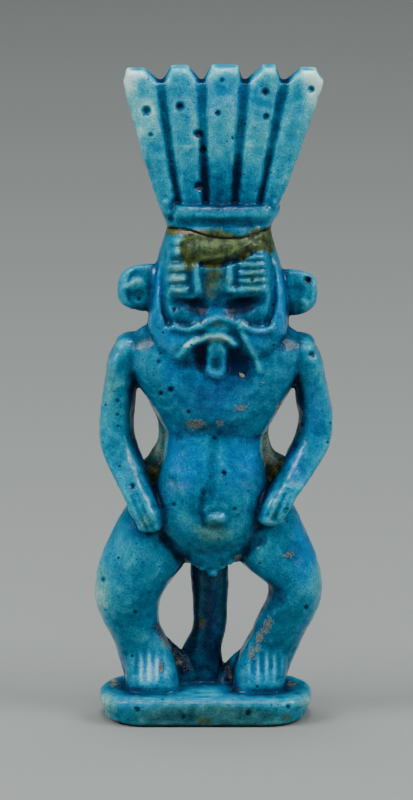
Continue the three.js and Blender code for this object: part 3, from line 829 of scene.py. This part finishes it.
# %% [markdown]
# ## Cutting
# On the real figure these lines were cut into the mould's model. Here every point of the skin
# is pushed forward or back by the relief. A displacement picture could do it too, but then a
# picture would have to be drawn first. The push moves a point in the camera's view, so the
# relief is looked up again where the point has gone. A second fusing evens the squares out.

# %% Cut the relief
def carved(points, normals):
    """Each point moves forward by the relief where it will then be seen, found in three tries,
    and less the more its surface turns away from the front."""
    seen = seen_from_front(points)
    facing = ramp(-normals[:, 1], 0.1, 0.4)
    forward = np.zeros(len(points))
    for attempt in range(3):
        there = seen - np.stack([np.zeros(len(points)), forward * math.sin(camera_rise)], axis=-1)
        forward = (face_relief(there) + body_relief(there)) * facing
    moved = points.copy()
    moved[:, 1] -= forward
    return moved


times_after_carving = 4
points = carved(points, normals_of(points, faces))
points, faces = remeshed(points, faces, cube)
pairs = pairs_of(faces)
points = melted(points, pairs, times_after_carving)
print("squares after carving:", len(faces))

# %% [markdown]
# ## Lumps
# A mould gives smooth faces, but sandy paste shrinks unevenly as it dries and the glaze on it
# runs and gathers. Two layers of noise move the skin by a few hundredths of a millimetre. That
# hardly changes its outline, yet it breaks each highlight into small glints. A bump map would
# do so too, but here the mesh itself should be uneven.

# %% Lumps
def lumps(points, size, seed):
    """Noise from -1 to 1: random values on a lattice of the given spacing that is turned at
    random, and between its eight nearest values a smooth step in each direction."""
    chance = np.random.default_rng(seed)
    turned = points @ np.linalg.qr(chance.normal(size=(3, 3)))[0]
    place = (turned - turned.min(0)) / size
    cell = place.astype(int)
    part = place - cell
    part = part**2 * (3 - 2 * part)
    lattice = chance.uniform(-1, 1, cell.max(0) + 2)
    return sum(
        np.prod(np.where(corner, part, 1 - part), axis=1) * lattice[tuple((cell + corner).T)]
        for corner in np.ndindex(2, 2, 2)
    )


# each layer in millimetres: height and spacing, and then its seed
lump_layers = [(0.07, 1.7, 1), (0.045, 0.8, 2)]

# the flat underside stays flat
off_the_foot = ramp(points[:, 2], 0.4, 0.5)
uneven = sum(height * lumps(points, spacing, seed) for height, spacing, seed in lump_layers) * off_the_foot
points += normals_of(points, faces) * uneven[:, None]
print("uneven by up to, mm:", round(float(np.abs(uneven).max()), 3))

# %% [markdown]
# ## What the glaze does
# Copper glaze runs off edges and pools in hollows, so an edge is thin and pale turquoise and
# a groove is thick and nearly navy. A painted map could say where, and so could an ambient
# occlusion node. Here the skin measures itself: how far each point bulges out of a smoothed
# copy of the skin, and how much other skin stands close in front of it. That crowding is an
# ambient occlusion measure, so the darkness it gives is partly pooled glaze and partly painted
# shade. The result is stored at the points, so the colour stays with the carving.

# %% Measures of the skin
def bulge(points, normals, pairs, times):
    """How far a point stands out, along its normal, of the skin after many smoothing steps,
    as a share of the distance that only a twentieth of the points exceed."""
    smooth = points
    for step in range(times):
        smooth = neighbour_mean(smooth, pairs)
    out = ((points - smooth) * normals).sum(axis=1)
    return np.clip(out / np.percentile(np.abs(out), 95), -1.5, 1.5)


def crowding(points, normals, reach, cell=0.35):
    """How many sheets of skin stand near the spot that lies `reach` in front of each point.
    Points are counted in cells, which fill the skin's box and three reaches more all round,
    and the counts are averaged over a box that goes four fifths of the reach to each side of
    the spot. A flat sheet crosses the box once and puts the square of cell over cube into each
    cell it crosses, so the mean times the box's width in cells, over that square, is the
    number of sheets."""
    low = points.min(0) - 3 * reach
    size = np.ceil((points.max(0) + 3 * reach - low) / cell).astype(int)
    where = ((points - low) / cell).astype(int)
    number = np.ravel_multi_index(where.T, size)
    counts = np.bincount(number, minlength=size.prod()).reshape(size).astype(float)
    half = max(1, round(0.8 * reach / cell))
    for axis in range(3):
        total = np.cumsum(counts, axis=axis)
        counts = (np.roll(total, -half, axis) - np.roll(total, half + 1, axis)) / (2 * half + 1)
    spot = ((points + normals * reach - low) / cell).astype(int)
    return counts[tuple(spot.T)] * (2 * half + 1) / (cell / cube) ** 2


fine_times, broad_times = 8, 70
near_reach, far_reach = 0.9, 3.0
normals = normals_of(points, faces)
fine_bulge = bulge(points, normals, pairs, fine_times)
broad_bulge = bulge(points, normals, pairs, broad_times)
near_crowd = crowding(points, normals, near_reach)
far_crowd = crowding(points, normals, far_reach)
for name, value in (("fine", fine_bulge), ("broad", broad_bulge), ("near", near_crowd), ("far", far_crowd)):
    print(name, np.round(np.percentile(value, [5, 25, 50, 75, 95]), 2))

# %% [markdown]
# ## Worn and pale places
# Long wear has rubbed the glaze thin where hands and sand could reach: on the tips of the
# plumes, a knee, the feet and the lip. Painting by hand could show it. Some marks here are
# painted light instead: a painted highlight on the top and the ends of the plinth and on the
# tops of the feet, painted highlights along the forearms' inner edges, on the cuff, on the
# tongue's rim and on the fold down the cheek, and painted shade on the faces beside the
# forearms' edges. Here each place is an oval or a line on the front, because its numbers can
# then be set against the photograph one by one. A patch is across, rise, half width, half height
# and strength, and the shader breaks up its edge with noise.

# %% Worn and pale places
wear_and_painted_light_patches = [
    # crown
    (-8.6, 70.3, 2.4, 5, 0.46), (11.8, 69.5, 2.4, 5, 0.46), (-6.5, 66, 2.6, 6, 0.26),
    (2, 65, 14, 9, 0.17),
    # head
    (-2.9, 51.7, 0.9, 1.6, 0.2), (5.2, 48.4, 1.6, 1.8, 0.12), (-2.9, 48.2, 1.3, 2, 0.34),
    (-1, 48.2, 0.6, 1.6, 0.1), (2.5, 48.2, 0.6, 1.6, 0.1), (-7.6, 47.6, 1.8, 2.8, 0.24),
    (11.3, 46.6, 1, 2.2, 0.06), (-5.6, 46.5, 1, 5.5, 0.1), (8.4, 46.5, 1.2, 5.5, 0.06),
    (1.3, 43.5, 1.4, 0.8, 0.22),
    # body and arms
    (-8.9, 41.2, 2, 2, 0.12), (11.4, 36, 1.6, 6, 0.03), (-10, 35, 1.6, 6.5, 0.13),
    (-3.5, 29.4, 0.9, 3, 0.07), (4.8, 28.4, 1.1, 2, 0.08), (-8.6, 26.5, 1.6, 4, 0.06),
    (1.2, 22.5, 1.4, 0.9, 0.09), (7, 22, 1, 1.5, 0.15), (-6.5, 21.8, 1, 1.5, 0.15),
    (0.5, 21.1, 4.2, 2.3, 0.06), (-8.5, 19, 3, 4, 0.14),
    # legs, feet and tail; the tops of the feet also carry a painted highlight
    (12, 15.5, 1.8, 5, 0.14), (-11.2, 14.5, 2.1, 6, 0.32), (-7.6, 9.5, 2, 2.2, 0.12),
    (-6, 6.2, 2.8, 2.4, 0.54), (6.2, 6.2, 2.8, 2.4, 0.32),
    # plinth: a painted highlight on its top and on its lit ends
    (0.3, 4.1, 6.5, 1.3, 0.36), (-10.9, 2.3, 2, 2.2, 0.3), (11.2, 2.3, 2, 2.2, 0.2),
]
pale_and_painted_light_lines = [
    # the lip, and a painted highlight on the rim of the tongue
    ([(-1.8, 41.2), (-0.9, 41.6), (0.1, 41.95), (2.1, 41.95), (2.9, 41.4)], 0.26, 0.6),
    ([(0.35, 40.5), (0.35, 38.8), (0.7, 38.25), (1.6, 38.25), (1.95, 38.8), (1.95, 40.5)], 0.08, 0.45),
    # a painted highlight on the fold from the nose down the cheek
    ([(3.8, 43.2), (4.4, 41.4), (5.1, 40.1), (5.8, 38.8)], 0.12, 0.4),
    # the lowest part of the belly
    ([(-2.4, 22.8), (-1.6, 21.6), (-0.3, 20.9), (1.4, 20.7), (2.8, 21), (3.9, 21.9)], 0.15, 1.1),
    # painted highlights on the sharp inner edges of the forearms, and on the cuff
    (arm_edges[0], 0.12, 0.28),
    (arm_edges[1], 0.1, 0.28),
    (cuff_path, 0.08, 0.3),
    # painted shade on the faces beside the forearms' edges
    ([(-7.9, 31.6), (-6.9, 28.9), (-5.8, 26.5), (-4.6, 23.9)], -0.22, 0.6),
    ([(9.7, 30.5), (8.6, 29.1), (7.6, 27.6), (6.9, 26), (5.8, 24.3)], -0.26, 0.55),
]
print("worn patches:", len(wear_and_painted_light_patches), "pale lines:", len(pale_and_painted_light_lines))

# %% [markdown]
# ## Deep places and painted shade
# Glaze that ran together stays dark, and most of these patches are painted shade besides: in the
# eye sockets under the brows, the mouth, the notches between the plumes, the shade under the
# belly, the inner sides of the arms, the tail between the legs and the fronts of the toes. The
# measures above find the narrow hollows by themselves, and these patches only add what they miss.

# %% Deep places
shade_and_pooled_glaze_patches = [
    # crown
    *[(across, 69.3, 0.8, 0.8, -0.45) for across in (-4.7, -0.4, 4.3, 8.5)],
    (-0.4, 62.8, 0.6, 1.8, -0.25), (1.8, 58.8, 6, 3.5, -0.26), (2, 55.6, 7, 0.7, -0.32),
    (1.4, 54.6, 4.5, 1, -0.08),
    # head
    (1.3, 46, 2.2, 1.5, -0.24), (-2, 45.95, 2.2, 0.6, -0.12), (4.5, 45.85, 2.4, 0.65, -0.2),
    (3.7, 45.3, 1.7, 1.2, -0.28), (-0.8, 45.1, 1.3, 1.4, -0.28), (-0.2, 44.7, 1, 0.9, -0.3),
    (2.65, 44.5, 0.8, 0.8, -0.24), (-2.6, 44.3, 1.9, 1.4, -0.26), (5.4, 44.2, 2, 1.4, -0.28),
    (-0.5, 39.9, 1.2, 2.4, -0.26), (1.1, 39.2, 0.9, 1.6, -0.06), (3.5, 39, 2, 2.4, -0.4),
    (-2, 38.3, 1.4, 1.6, -0.14), (4.6, 38, 1.3, 1.3, -0.2),
    # body and arms
    (-6.7, 41.5, 1.7, 1.4, -0.16), (9.1, 41.4, 1.7, 1.4, -0.18), (1.4, 37, 6, 4, -0.1),
    (-8, 35.4, 0.8, 3.6, -0.15), (10.35, 35.2, 0.8, 3, -0.15), (11.4, 34, 1, 3.6, -0.1),
    (-6.9, 31.5, 0.9, 4, -0.1), (6.6, 28.4, 1.2, 2.6, -0.1), (10.2, 28.3, 0.9, 2, -0.12),
    (0, 25, 4.5, 4, -0.14), (8.9, 18.6, 1.1, 0.8, -0.16), (9.6, 18.2, 1.8, 2.6, -0.07),
    # legs, feet and tail
    (-2.2, 15, 1.6, 6, -0.1), (7.2, 14, 2.4, 4, -0.2), (5, 13.5, 1.6, 6, -0.1),
    (0.3, 12.5, 1.5, 8, -0.2), (7, 10, 1.6, 2.5, -0.08), (0.6, 8, 2.2, 3, -0.14),
    (-1.6, 6.8, 0.6, 0.9, -0.25),
    # painted shade on the fronts of the toes, and the plinth darker towards the bottom
    (-6.2, 4.3, 3, 0.5, -0.18), (6.2, 4.3, 3, 0.5, -0.15), (0, 1, 9.5, 1.2, -0.06),
]
print("deep patches:", len(shade_and_pooled_glaze_patches))

# %% [markdown]
# ## Dull and blue places
# Where the surface has weathered it is greener and hardly shines, and where it is still
# sound and thick it is a strong blue. One ramp of colours can't hold both, so two more
# values say how dull and how blue the glaze is.

# %% Dull and blue places
dull_patches = [
    # crown
    (-9.4, 70.5, 2.2, 5.5, 1), (12.4, 69.5, 2.2, 6, 1), (1.5, 65, 13, 9, 0.3),
    # head
    (-2.9, 49, 1.8, 4.5, 0.9), (5.2, 48.4, 2, 3.2, 0.9), (2.5, 48.2, 0.8, 1.6, 0.6),
    (0.9, 48, 1.4, 2.2, 1), (1.2, 43.3, 1, 0.8, 0.9), (0.8, 41.8, 2.6, 0.9, 0.9),
    (1.1, 39.1, 0.9, 1.9, 0.9),
    # body and arms
    (-6.7, 41.5, 2.1, 1.7, 1.1), (9.1, 41.4, 2.1, 1.7, 1.1), (-10.6, 38, 1.6, 5.5, 0.6),
    (7.2, 22.4, 1.2, 2, 0.5), (-6.5, 22.3, 1.2, 2, 0.9), (0.6, 21.2, 3.6, 2.2, 0.9),
    # legs, feet and tail
    (12.2, 15, 1.6, 5, 0.5), (-11.4, 14.5, 2, 5.5, 0.9),
    # plinth
    (-11, 2.8, 2.2, 2.4, 1.1), (11.2, 2.8, 2.2, 2.4, 0.8), (0, 1.2, 14.5, 2.3, 1.4),
]
blue_patches = [
    # crown
    (1.5, 67.6, 8, 3.2, 0.5),
    # head
    (-5.2, 46, 1.2, 5.5, 1), (8, 46, 1.4, 5.5, 1), (1.3, 44.5, 2.4, 1.8, 0.45),
    (-3.6, 42, 2.2, 1.8, 0.8), (5.8, 42, 2, 1.8, 0.8),
    # body and arms
    (-6.7, 41.5, 2.1, 1.7, 0.8), (9.1, 41.4, 2.1, 1.7, 0.8), (-3.8, 38.5, 2, 3.5, 0.6),
    (1, 36, 6.5, 5, 0.9), (11.6, 33.5, 1.8, 5, 0.7), (-3.4, 29.6, 1.2, 3.4, 0.6),
    (-1.7, 28.8, 3.2, 5, 0.9), (3.5, 28.8, 3.6, 5, 0.8), (4.8, 28.5, 1.3, 2.6, 0.6),
    (9.6, 28.5, 1.6, 4.5, 0.8), (-7.5, 21, 2, 2.5, 0.4), (10.6, 19.5, 2, 6, 0.9),
    # legs, feet and tail
    (0.8, 12, 1.2, 7, 0.9), (-5.5, 6.4, 3.2, 2.4, 0.8), (6, 6.4, 3.2, 2.4, 0.7),
    # plinth
    (0.5, 4, 5, 1.6, 0.9),
]
print("dull and blue patches:", len(dull_patches), len(blue_patches))

# %% [markdown]
# ## Stain, earth and the crack
# An olive stain lies over the forehead, where the crown broke off and was put back, and tan
# earth still sticks in places. They hide the glaze, so they are values of their own and are
# laid over it in the shader.

# %% Stain and earth
stain_patches = [
    # head
    (-3.6, 53.3, 1.8, 0.8, 0.8), (5.6, 52.4, 2.2, 2, 0.8), (7, 52.2, 1, 2.2, 0.8),
    (0.95, 51.7, 4.9, 2.4, 1.2), (-1.7, 50.9, 1.3, 3, 0.9), (4.3, 50.3, 0.9, 1.2, 0.5),
    (0.85, 48.2, 1.9, 3.6, 0.58), (1.35, 43.3, 1.1, 0.8, 0.5), (1.5, 41.5, 1.7, 0.5, 0.35),
    # plinth
    (-9.9, 4.8, 1.4, 0.8, 0.8), (8.7, 1.1, 1.1, 0.7, 0.45), (-0.05, 0.8, 1.4, 0.7, 0.6),
]
earth_patches = [
    # head
    (-1.6, 53.2, 2.6, 0.4, 0.7), (3.9, 37.9, 0.35, 0.35, 1.3),
    # body and arms
    (6.2, 37, 0.25, 0.25, 1), (7.8, 34.6, 0.5, 0.9, 0.5), (3.9, 34.4, 1.5, 0.6, 0.5),
    (1.5, 32.8, 0.8, 0.7, 0.5), (-1, 32.7, 1.5, 0.8, 0.62), (8.9, 18.6, 0.9, 0.7, 0.42),
    # legs, feet and tail
    (-0.35, 11.3, 0.5, 0.8, 0.75), (-4.78, 6.5, 0.3, 0.9, 1),
    # plinth
    (-9.9, 4.8, 1, 0.6, 0.9), (9.3, 4.7, 0.8, 0.5, 0.9),
]
earth_lines = [
    ([(-5.1, 9.9), (-2.7, 6.9)], 0.38, 0.55),
    ([(6.8, 11.6), (5.9, 9.6), (4.9, 7.6)], 0.5, 1.1),
]
brown_lines = [
    ([(-5.15, 10.8), (-2.9, 8.5), (-2.2, 6.2)], 1, 0.9),
    ([(2.1, 7.1), (2.6, 5.6), (3.2, 4.2)], 1, 0.9),
    ([(-1.1, 17.5), (-1, 11), (-1.5, 8)], 0.6, 0.7),
]
print("stain and earth patches:", len(stain_patches), len(earth_patches))

# %% [markdown]
# ## Values at the points
# The tables and the measures meet here, in one number for each point and each value. A tone
# near 0 is the deepest hollow, and one near 1 is worn to the pale paste. The tone also holds
# painted shade in hollows and under overhangs, and painted highlights on some edges.

# %% Values at the points
middle_tone = 0.5
fine_weight, broad_weight, pooling_and_shade_weight = 0.1, 0.06, 0.1
brown_tone, brown_earth = 0.35, 0.3
pit_shade_tone = 0.34
crack_half_width = 0.24
plume_edge_highlight, crown_foot = 0.08, 56.5

seen = seen_from_front(points)
front = ramp(-normals[:, 1], -0.25, 0.5)
browned = front * lines(seen, brown_lines)
tone = middle_tone + fine_weight * np.clip(fine_bulge, -1, 1) + broad_weight * np.clip(broad_bulge, -1, 1)
# skin standing close in front darkens a point: pooled glaze, and painted shade where other parts keep the
# light off
tone -= pooling_and_shade_weight * (np.clip(near_crowd, 0, 1.5) + np.clip(far_crowd, 0, 1.5))
# the patches and lines bring wear, painted highlights, and painted shade with pooled glaze
tone += front * ovals(seen, wear_and_painted_light_patches + shade_and_pooled_glaze_patches, lines(seen, pale_and_painted_light_lines)) - brown_tone * browned
# painted shade darkens the middle of each pit
tone -= front * ovals(seen, [(x, y, radius, radius, pit_shade_tone) for x, y, radius in pit_places])
blue = front * ovals(seen, blue_patches)
dull = front * ovals(seen, dull_patches)
stain = front * ovals(seen, stain_patches, flat=0.3)
earth = front * ovals(seen, earth_patches, lines(seen, earth_lines), flat=0.3) + brown_earth * browned

# the crack, and painted shade in the middle of the ear's deep pit
painted_pit_shade = (11, 48.15, 0.62, 0.62, 0.8)
crack = front * ovals(seen, [painted_pit_shade], line_relief(seen, crack_path, 1, crack_half_width))

# a painted highlight lightens the sharp edges of the plumes
tone += plume_edge_highlight * ramp(seen[:, 1], crown_foot, 2) * np.clip(fine_bulge, 0, 1.5)
print("tone from", round(float(tone.min()), 2), "to", round(float(tone.max()), 2))

# %% [markdown]
# ## Beside the waist
# Through the openings beside the waist one sees the narrow sides of the slab behind it. They
# are worn to the paste, pale above and more olive below, and painted shade makes them darker
# below, in the pocket between arm and body. A patch seen from the front would spill over the
# arms, so this strip has bounds in depth as well.

# %% Beside the waist
# heights in shares of the figure, the rest in millimetres
waist_height, strip_reach, strip_fade = 38, 9.6, 6
shade_height, shade_fade = 37.5, 2.5
waist_middle = 1.0
strip_front, strip_back, edge_fade = -2.0, 2.6, 0.8
strip_inner, strip_outer, inner_fade = 4.3, 7.4, 0.5

up = up_the_figure(points)
shaded = ramp(shade_height - up, 0, shade_fade)


def shading(above, below):
    """A value that goes from one for the upper part of the strip to one for the lower part."""
    return above + (below - above) * shaded


outward = np.abs(points[:, 0] - waist_middle)
bare = ramp(strip_reach - np.abs(up - waist_height), 0, strip_fade)
bare *= ramp(points[:, 1], strip_front, edge_fade) * ramp(strip_back - points[:, 1], 0, edge_fade)
bare *= ramp(outward, strip_inner, inner_fade) * (outward < strip_outer)

# one of the two strips keeps less earth
sandiness = np.where(points[:, 0] < 0, 0.7, 1.0)
# painted shade: the tone falls from pale above to dark in the pocket below
tone += bare * shading(0.42, -0.2)
dull = np.maximum(dull, bare)
earth = np.maximum(earth, bare * sandiness * shading(0.46, 0.26))
stain = np.maximum(stain, bare * shading(0.25, 0.55))
skin_values = {"tone": tone, "blue": blue, "dull": dull, "stain": stain, "earth": earth, "crack": crack}
for name, value in skin_values.items():
    print(name, np.round(np.percentile(value, [5, 50, 95]), 2))

# %% [markdown]
# ## The finished piece
# Over half a million triangles are too many, and most of them lie on quiet surfaces. Decimate
# takes them out where the surface hardly bends and leaves them where it is carved. It carries
# the stored values along.

# %% Finished figure
most_triangles = 190000
figure = bpy.data.objects.new("bes_skin", as_mesh("bes_skin", points / 1000, faces))
scene.collection.objects.link(figure)
figure.data.polygons.foreach_set("use_smooth", np.ones(len(faces), bool))
for name, value in skin_values.items():
    layer = figure.data.attributes.new(name, "FLOAT", "POINT")
    layer.data.foreach_set("value", value.astype(np.float32))
thin_out = figure.modifiers.new("thin out", "DECIMATE")
thin_out.ratio = min(1.0, most_triangles / (2 * len(faces)))
thinned = bpy.data.meshes.new_from_object(figure.evaluated_get(bpy.context.evaluated_depsgraph_get()))
figure.modifiers.clear()
figure.data = thinned
kept = [name for name in skin_values if name in thinned.attributes]
print("triangles:", len(thinned.loops) - 2 * len(thinned.polygons), "values kept:", kept)

# %% [markdown]
# ## Reckoning with sockets
# A glaze recipe reads better as sums than as boxes and wires. This class wraps an output
# socket, so that adding or multiplying two of them lays down the Math node that does it.

# %% Wires
class Wire:
    """An output socket that can be added, taken away and multiplied."""

    tree = None

    def __init__(self, socket):
        self.socket = socket

    @classmethod
    def node(cls, kind, settings=None, inputs=None, output=0):
        """Adds a node: its settings first, then values or wires into its sockets. A ramp's
        stops are among the settings."""
        made = cls.tree.nodes.new(kind)
        for name, value in (settings or {}).items():
            if name == "stops":
                elements = made.color_ramp.elements
                while len(elements) < len(value):
                    elements.new(0.5)
                for element, (place, colour) in zip(elements, value):
                    element.position = place
                    element.color = (*colour, 1)
            else:
                setattr(made, name, value)
        for name, value in (inputs or {}).items():
            if isinstance(value, Wire):
                cls.tree.links.new(value.socket, made.inputs[name])
            else:
                made.inputs[name].default_value = value
        return cls(made.outputs[output])

    @classmethod
    def math(cls, operation, *values):
        """A Math node on wires or numbers."""
        return cls.node("ShaderNodeMath", {"operation": operation}, dict(enumerate(values)))

    def __add__(self, other):
        return Wire.math("ADD", self, other)

    __radd__ = __add__

    def __sub__(self, other):
        return Wire.math("SUBTRACT", self, other)

    def __rsub__(self, other):
        return Wire.math("SUBTRACT", other, self)

    def __mul__(self, other):
        return Wire.math("MULTIPLY", self, other)

    __rmul__ = __mul__

    def within(self, low, high):
        """0 below the low value, 1 above the high one, and a smooth step between."""
        settings = {"interpolation_type": "SMOOTHSTEP"}
        return Wire.node("ShaderNodeMapRange", settings, {"Value": self, "From Min": low, "From Max": high})


def blended(share_of_second, first, second, kind="MIX"):
    """Two colours mixed by a share from 0 to 1."""
    settings = {"data_type": "RGBA", "blend_type": kind, "clamp_factor": True}
    return Wire.node("ShaderNodeMix", settings, {0: share_of_second, 6: first, 7: second}, output=2)


def rgb(*parts):
    """Red, green and blue as a colour that covers fully."""
    return (*parts, 1)


print("operators of a wire:", [name for name in vars(Wire) if name.endswith(("add__", "sub__", "mul__"))])

# %% [markdown]
# ## Faience glaze
# The glaze is a glass full of copper, thick here and thin there, with pinholes that were burnt
# open in the kiln. A picture could be wrapped round the figure. Patterns worked out from each
# point's place need no picture and have no seam. Pinholes are the cells of a Voronoi pattern
# of which only a few are kept.

# %% Glaze tools
glaze = bpy.data.materials.new("faience")
glaze.use_nodes = True
Wire.tree = glaze.node_tree
shader = glaze.node_tree.nodes["Principled BSDF"]


def stored(name):
    """A value stored at the skin's points."""
    return Wire.node("ShaderNodeAttribute", {"attribute_name": name}, output="Fac")


place = Wire.node("ShaderNodeTexCoord", output="Object")


def noise(size_mm, detail=2.0, roughness=0.5):
    """Noise from 0 to 1 whose clouds are about as large as the size."""
    sockets = {"Vector": place, "Scale": 1000 / size_mm, "Detail": detail, "Roughness": roughness}
    return Wire.node("ShaderNodeTexNoise", None, sockets)


def pinholes(size_mm, share_kept, radius):
    """1 in the cells that are kept, out to four tenths of the radius, and 0 beyond the radius.
    The radius is a share of a cell."""
    sockets = {"Vector": place, "Scale": 1000 / size_mm}
    distance = Wire.node("ShaderNodeTexVoronoi", None, sockets, output="Distance")
    pick = Wire.node("ShaderNodeTexVoronoi", None, sockets, output="Color")
    chance = Wire.node("ShaderNodeSeparateColor", None, {"Color": pick}, output="Red")
    kept = Wire.math("GREATER_THAN", chance, 1 - share_kept)
    return (1 - distance.within(radius * 0.4, radius)) * kept


def swing(wire, width):
    """A noise from 0 to 1 as one about 0, as wide as the width."""
    return (wire - 0.5) * width


def ramp_at(wire, stops):
    """The colour at a value between the stops, which are a place and a colour each."""
    return Wire.node("ShaderNodeValToRGB", {"stops": stops}, {"Fac": wire})


print("patterns are read at coordinates:", place.socket.name)

# %% [markdown]
# ## The colour of the glaze
# Copper glaze is navy in the hollows and pale turquoise on the edges. One ramp gives that,
# read at the stored tone, which also holds painted shade and painted highlights, and which
# three noises disturb: clouds, mottle and fine speckle.
# Weathered places have a duller ramp of their own, and sound thick ones are tinted blue.

# %% Glaze colour
clouds = noise(3.0, detail=3.0)
mottle = noise(0.8, detail=3.0, roughness=0.6)
speckle = noise(0.2, roughness=0.6)
pits = pinholes(1.5, 0.3, 0.14)
small_pits = pinholes(0.6, 0.3, 0.2)
tone_here = stored("tone") + swing(clouds, 0.3) + swing(mottle, 0.34) + swing(speckle, 0.32)
glaze_colour = ramp_at(tone_here, [
    (0.0, (0.0, 0.01, 0.034)),
    (0.2, (0.0, 0.042, 0.105)),
    (0.4, (0.0, 0.11, 0.21)),
    (0.55, (0.002, 0.18, 0.3)),
    (0.7, (0.02, 0.28, 0.38)),
    (0.85, (0.12, 0.43, 0.48)),
    (1.0, (0.36, 0.62, 0.62)),
])
dull_colour = ramp_at(tone_here, [
    (0.0, (0.0, 0.012, 0.02)),
    (0.35, (0.01, 0.06, 0.066)),
    (0.55, (0.03, 0.125, 0.135)),
    (0.75, (0.1, 0.28, 0.285)),
    (1.0, (0.42, 0.61, 0.58)),
])
weathered = (stored("dull") + swing(clouds, 0.5)).within(0.1, 1.0)
glaze_colour = blended(weathered * 0.85, glaze_colour, dull_colour)
hue = noise(2.2).within(0.35, 0.65)
glaze_colour = blended(hue * 0.5, glaze_colour, rgb(0.94, 1.05, 0.9), "MULTIPLY")
vivid = stored("blue") * (0.6 + clouds * 0.5)
glaze_colour = blended(vivid * 0.75, glaze_colour, rgb(0.5, 0.88, 1.6), "MULTIPLY")
print("glaze nodes so far:", len(glaze.node_tree.nodes))

# %% [markdown]
# ## What lies on the glaze
# Stain, earth, the dark crack with the painted shade in the ear's deep pit, and the pinholes
# hide the glaze one after another. Each stored value is disturbed by noise and then cut with a
# soft step, so that a smooth oval gets the ragged edge of a real deposit.

# %% Stain, earth, crack and pinholes
stain_edge = (stored("stain") + swing(mottle, 0.55) + swing(clouds, 0.5)).within(0.15, 0.8)
stain_colour = blended(mottle.within(0.35, 0.65), rgb(0.018, 0.024, 0.002), rgb(0.062, 0.085, 0.009))
stained = blended(stain_edge * 0.93, glaze_colour, stain_colour)
earth_edge = (stored("earth") + swing(mottle, 1.1) + swing(speckle, 0.3)).within(0.22, 0.7)
earth_colour = blended(speckle.within(0.3, 0.7), rgb(0.11, 0.1, 0.052), rgb(0.25, 0.22, 0.135))
earthy = blended(earth_edge * 0.9, stained, earth_colour)
# the crack and the painted shade of the ear's deep pit, both near black
crack_and_pit_shade_edge = (stored("crack") + swing(speckle, 0.3)).within(0.3, 0.6)
with_crack_and_pit_shade = blended(crack_and_pit_shade_edge, earthy, rgb(0.004, 0.006, 0.004))
pitted = blended(Wire.math("MAXIMUM", pits, small_pits * 0.6) * 0.7, with_crack_and_pit_shade, rgb(0.0, 0.02, 0.045))
print("glaze nodes so far:", len(glaze.node_tree.nodes))

# %% [markdown]
# ## Shine
# Sound glaze shines in patches, and earth, stain, weathered skin and the hollows hardly do. A
# clear coat over a rougher ground gives small sharp glints. A low roughness alone would turn
# whole faces into mirrors. The bump adds only what is finer than the mesh.

# %% Shine and bump
gloss = 0.2 + mottle * 0.14 + speckle * 0.12 + earth_edge * 0.4
glassy = tone_here.within(0.08, 0.42) * (1 - earth_edge * 0.9) * (1 - weathered * 0.6)
glassy = glassy * (1 - stain_edge * 0.7) * mottle.within(0.3, 0.62) * 0.95
height = mottle * 0.35 + speckle * 0.2 - pits * 1.2 - small_pits * 0.6 + earth_edge * speckle * 0.8
bump_sockets = {"Height": height, "Strength": 1.0, "Distance": 0.00012}
bump = Wire.node("ShaderNodeBump", None, bump_sockets, output="Normal")
wired = {"Base Color": pitted, "Roughness": gloss, "Coat Weight": glassy, "Normal": bump}
for name, wire in wired.items():
    glaze.node_tree.links.new(wire.socket, shader.inputs[name])
shader.inputs["Coat Roughness"].default_value = 0.2
shader.inputs["Coat IOR"].default_value = 1.36
shader.inputs["IOR"].default_value = 1.5
shader.inputs["Specular IOR Level"].default_value = 0.08
figure.data.materials.append(glaze)
print("glaze nodes:", len(glaze.node_tree.nodes))

# %% [markdown]
# ## Riding on the frame
# The skin stands for the packed solid: the solid stays for collision and is no longer drawn.

# %% Fit to the frame
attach(figure, "root")
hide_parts("bes_figure")
print("the skin stands for the solid:", figure.name)

# %% [markdown]
# ## Floor
# The figure stood on plain grey paper. A curved sweep would do, but the camera looks down, so
# a flat sheet that goes on far behind the figure fills the view as well.

# %% Floor
floor_half = 3.0
corners = np.array([[-1, -1, 0], [1, -1, 0], [1, 1, 0], [-1, 1, 0]]) * floor_half
floor = bpy.data.objects.new("floor", as_mesh("floor", corners, np.array([[0, 1, 2, 3]])))
scene.collection.objects.link(floor)
paper = bpy.data.materials.new("paper")
paper.use_nodes = True
paper_shader = paper.node_tree.nodes["Principled BSDF"]
paper_shader.inputs["Base Color"].default_value = (0.184, 0.2, 0.194, 1)
paper_shader.inputs["Roughness"].default_value = 0.9
paper_shader.inputs["Specular IOR Level"].default_value = 0.1
floor.data.materials.append(paper)
print("paper, m across:", 2 * floor_half)

# %% [markdown]
# ## Lights
# The highlights show a soft lamp on each side and one above, and a weak one in front opens the
# shadows. Large lamps close by give soft shadows and let the paper darken behind the figure.
# The room is kept dark, so that the deep glaze mirrors the lamps and little else.

# %% Lights
def softbox(name, azimuth, rise, distance, size, watts):
    """A square lamp on a sphere about the figure's middle, facing it."""
    lamp = bpy.data.lights.new(name, "AREA")
    lamp.size = size
    lamp.energy = watts
    holder = bpy.data.objects.new(name, lamp)
    round_it, over_it = math.radians(azimuth), math.radians(rise)
    holder.location = (
        distance * math.sin(round_it) * math.cos(over_it),
        -distance * math.cos(round_it) * math.cos(over_it),
        figure_height / 1000 / 2 + distance * math.sin(over_it),
    )
    holder.rotation_euler = (math.pi / 2 - over_it, 0, round_it)
    scene.collection.objects.link(holder)
    print(name, "lamp at", [round(v, 2) for v in holder.location])


softbox("left", -68, 38, 0.4, 0.2, 1.95)
softbox("right", 66, 36, 0.4, 0.2, 1.8)
softbox("above", 180, 84, 0.4, 0.16, 1.65)
softbox("front", 0, 62, 0.5, 0.2, 0.8)
room = bpy.data.worlds.new("room")
room.use_nodes = True
room.node_tree.nodes["Background"].inputs["Color"].default_value = (0.5, 0.52, 0.52, 1)
room.node_tree.nodes["Background"].inputs["Strength"].default_value = 0.12
scene.world = room

# %% [markdown]
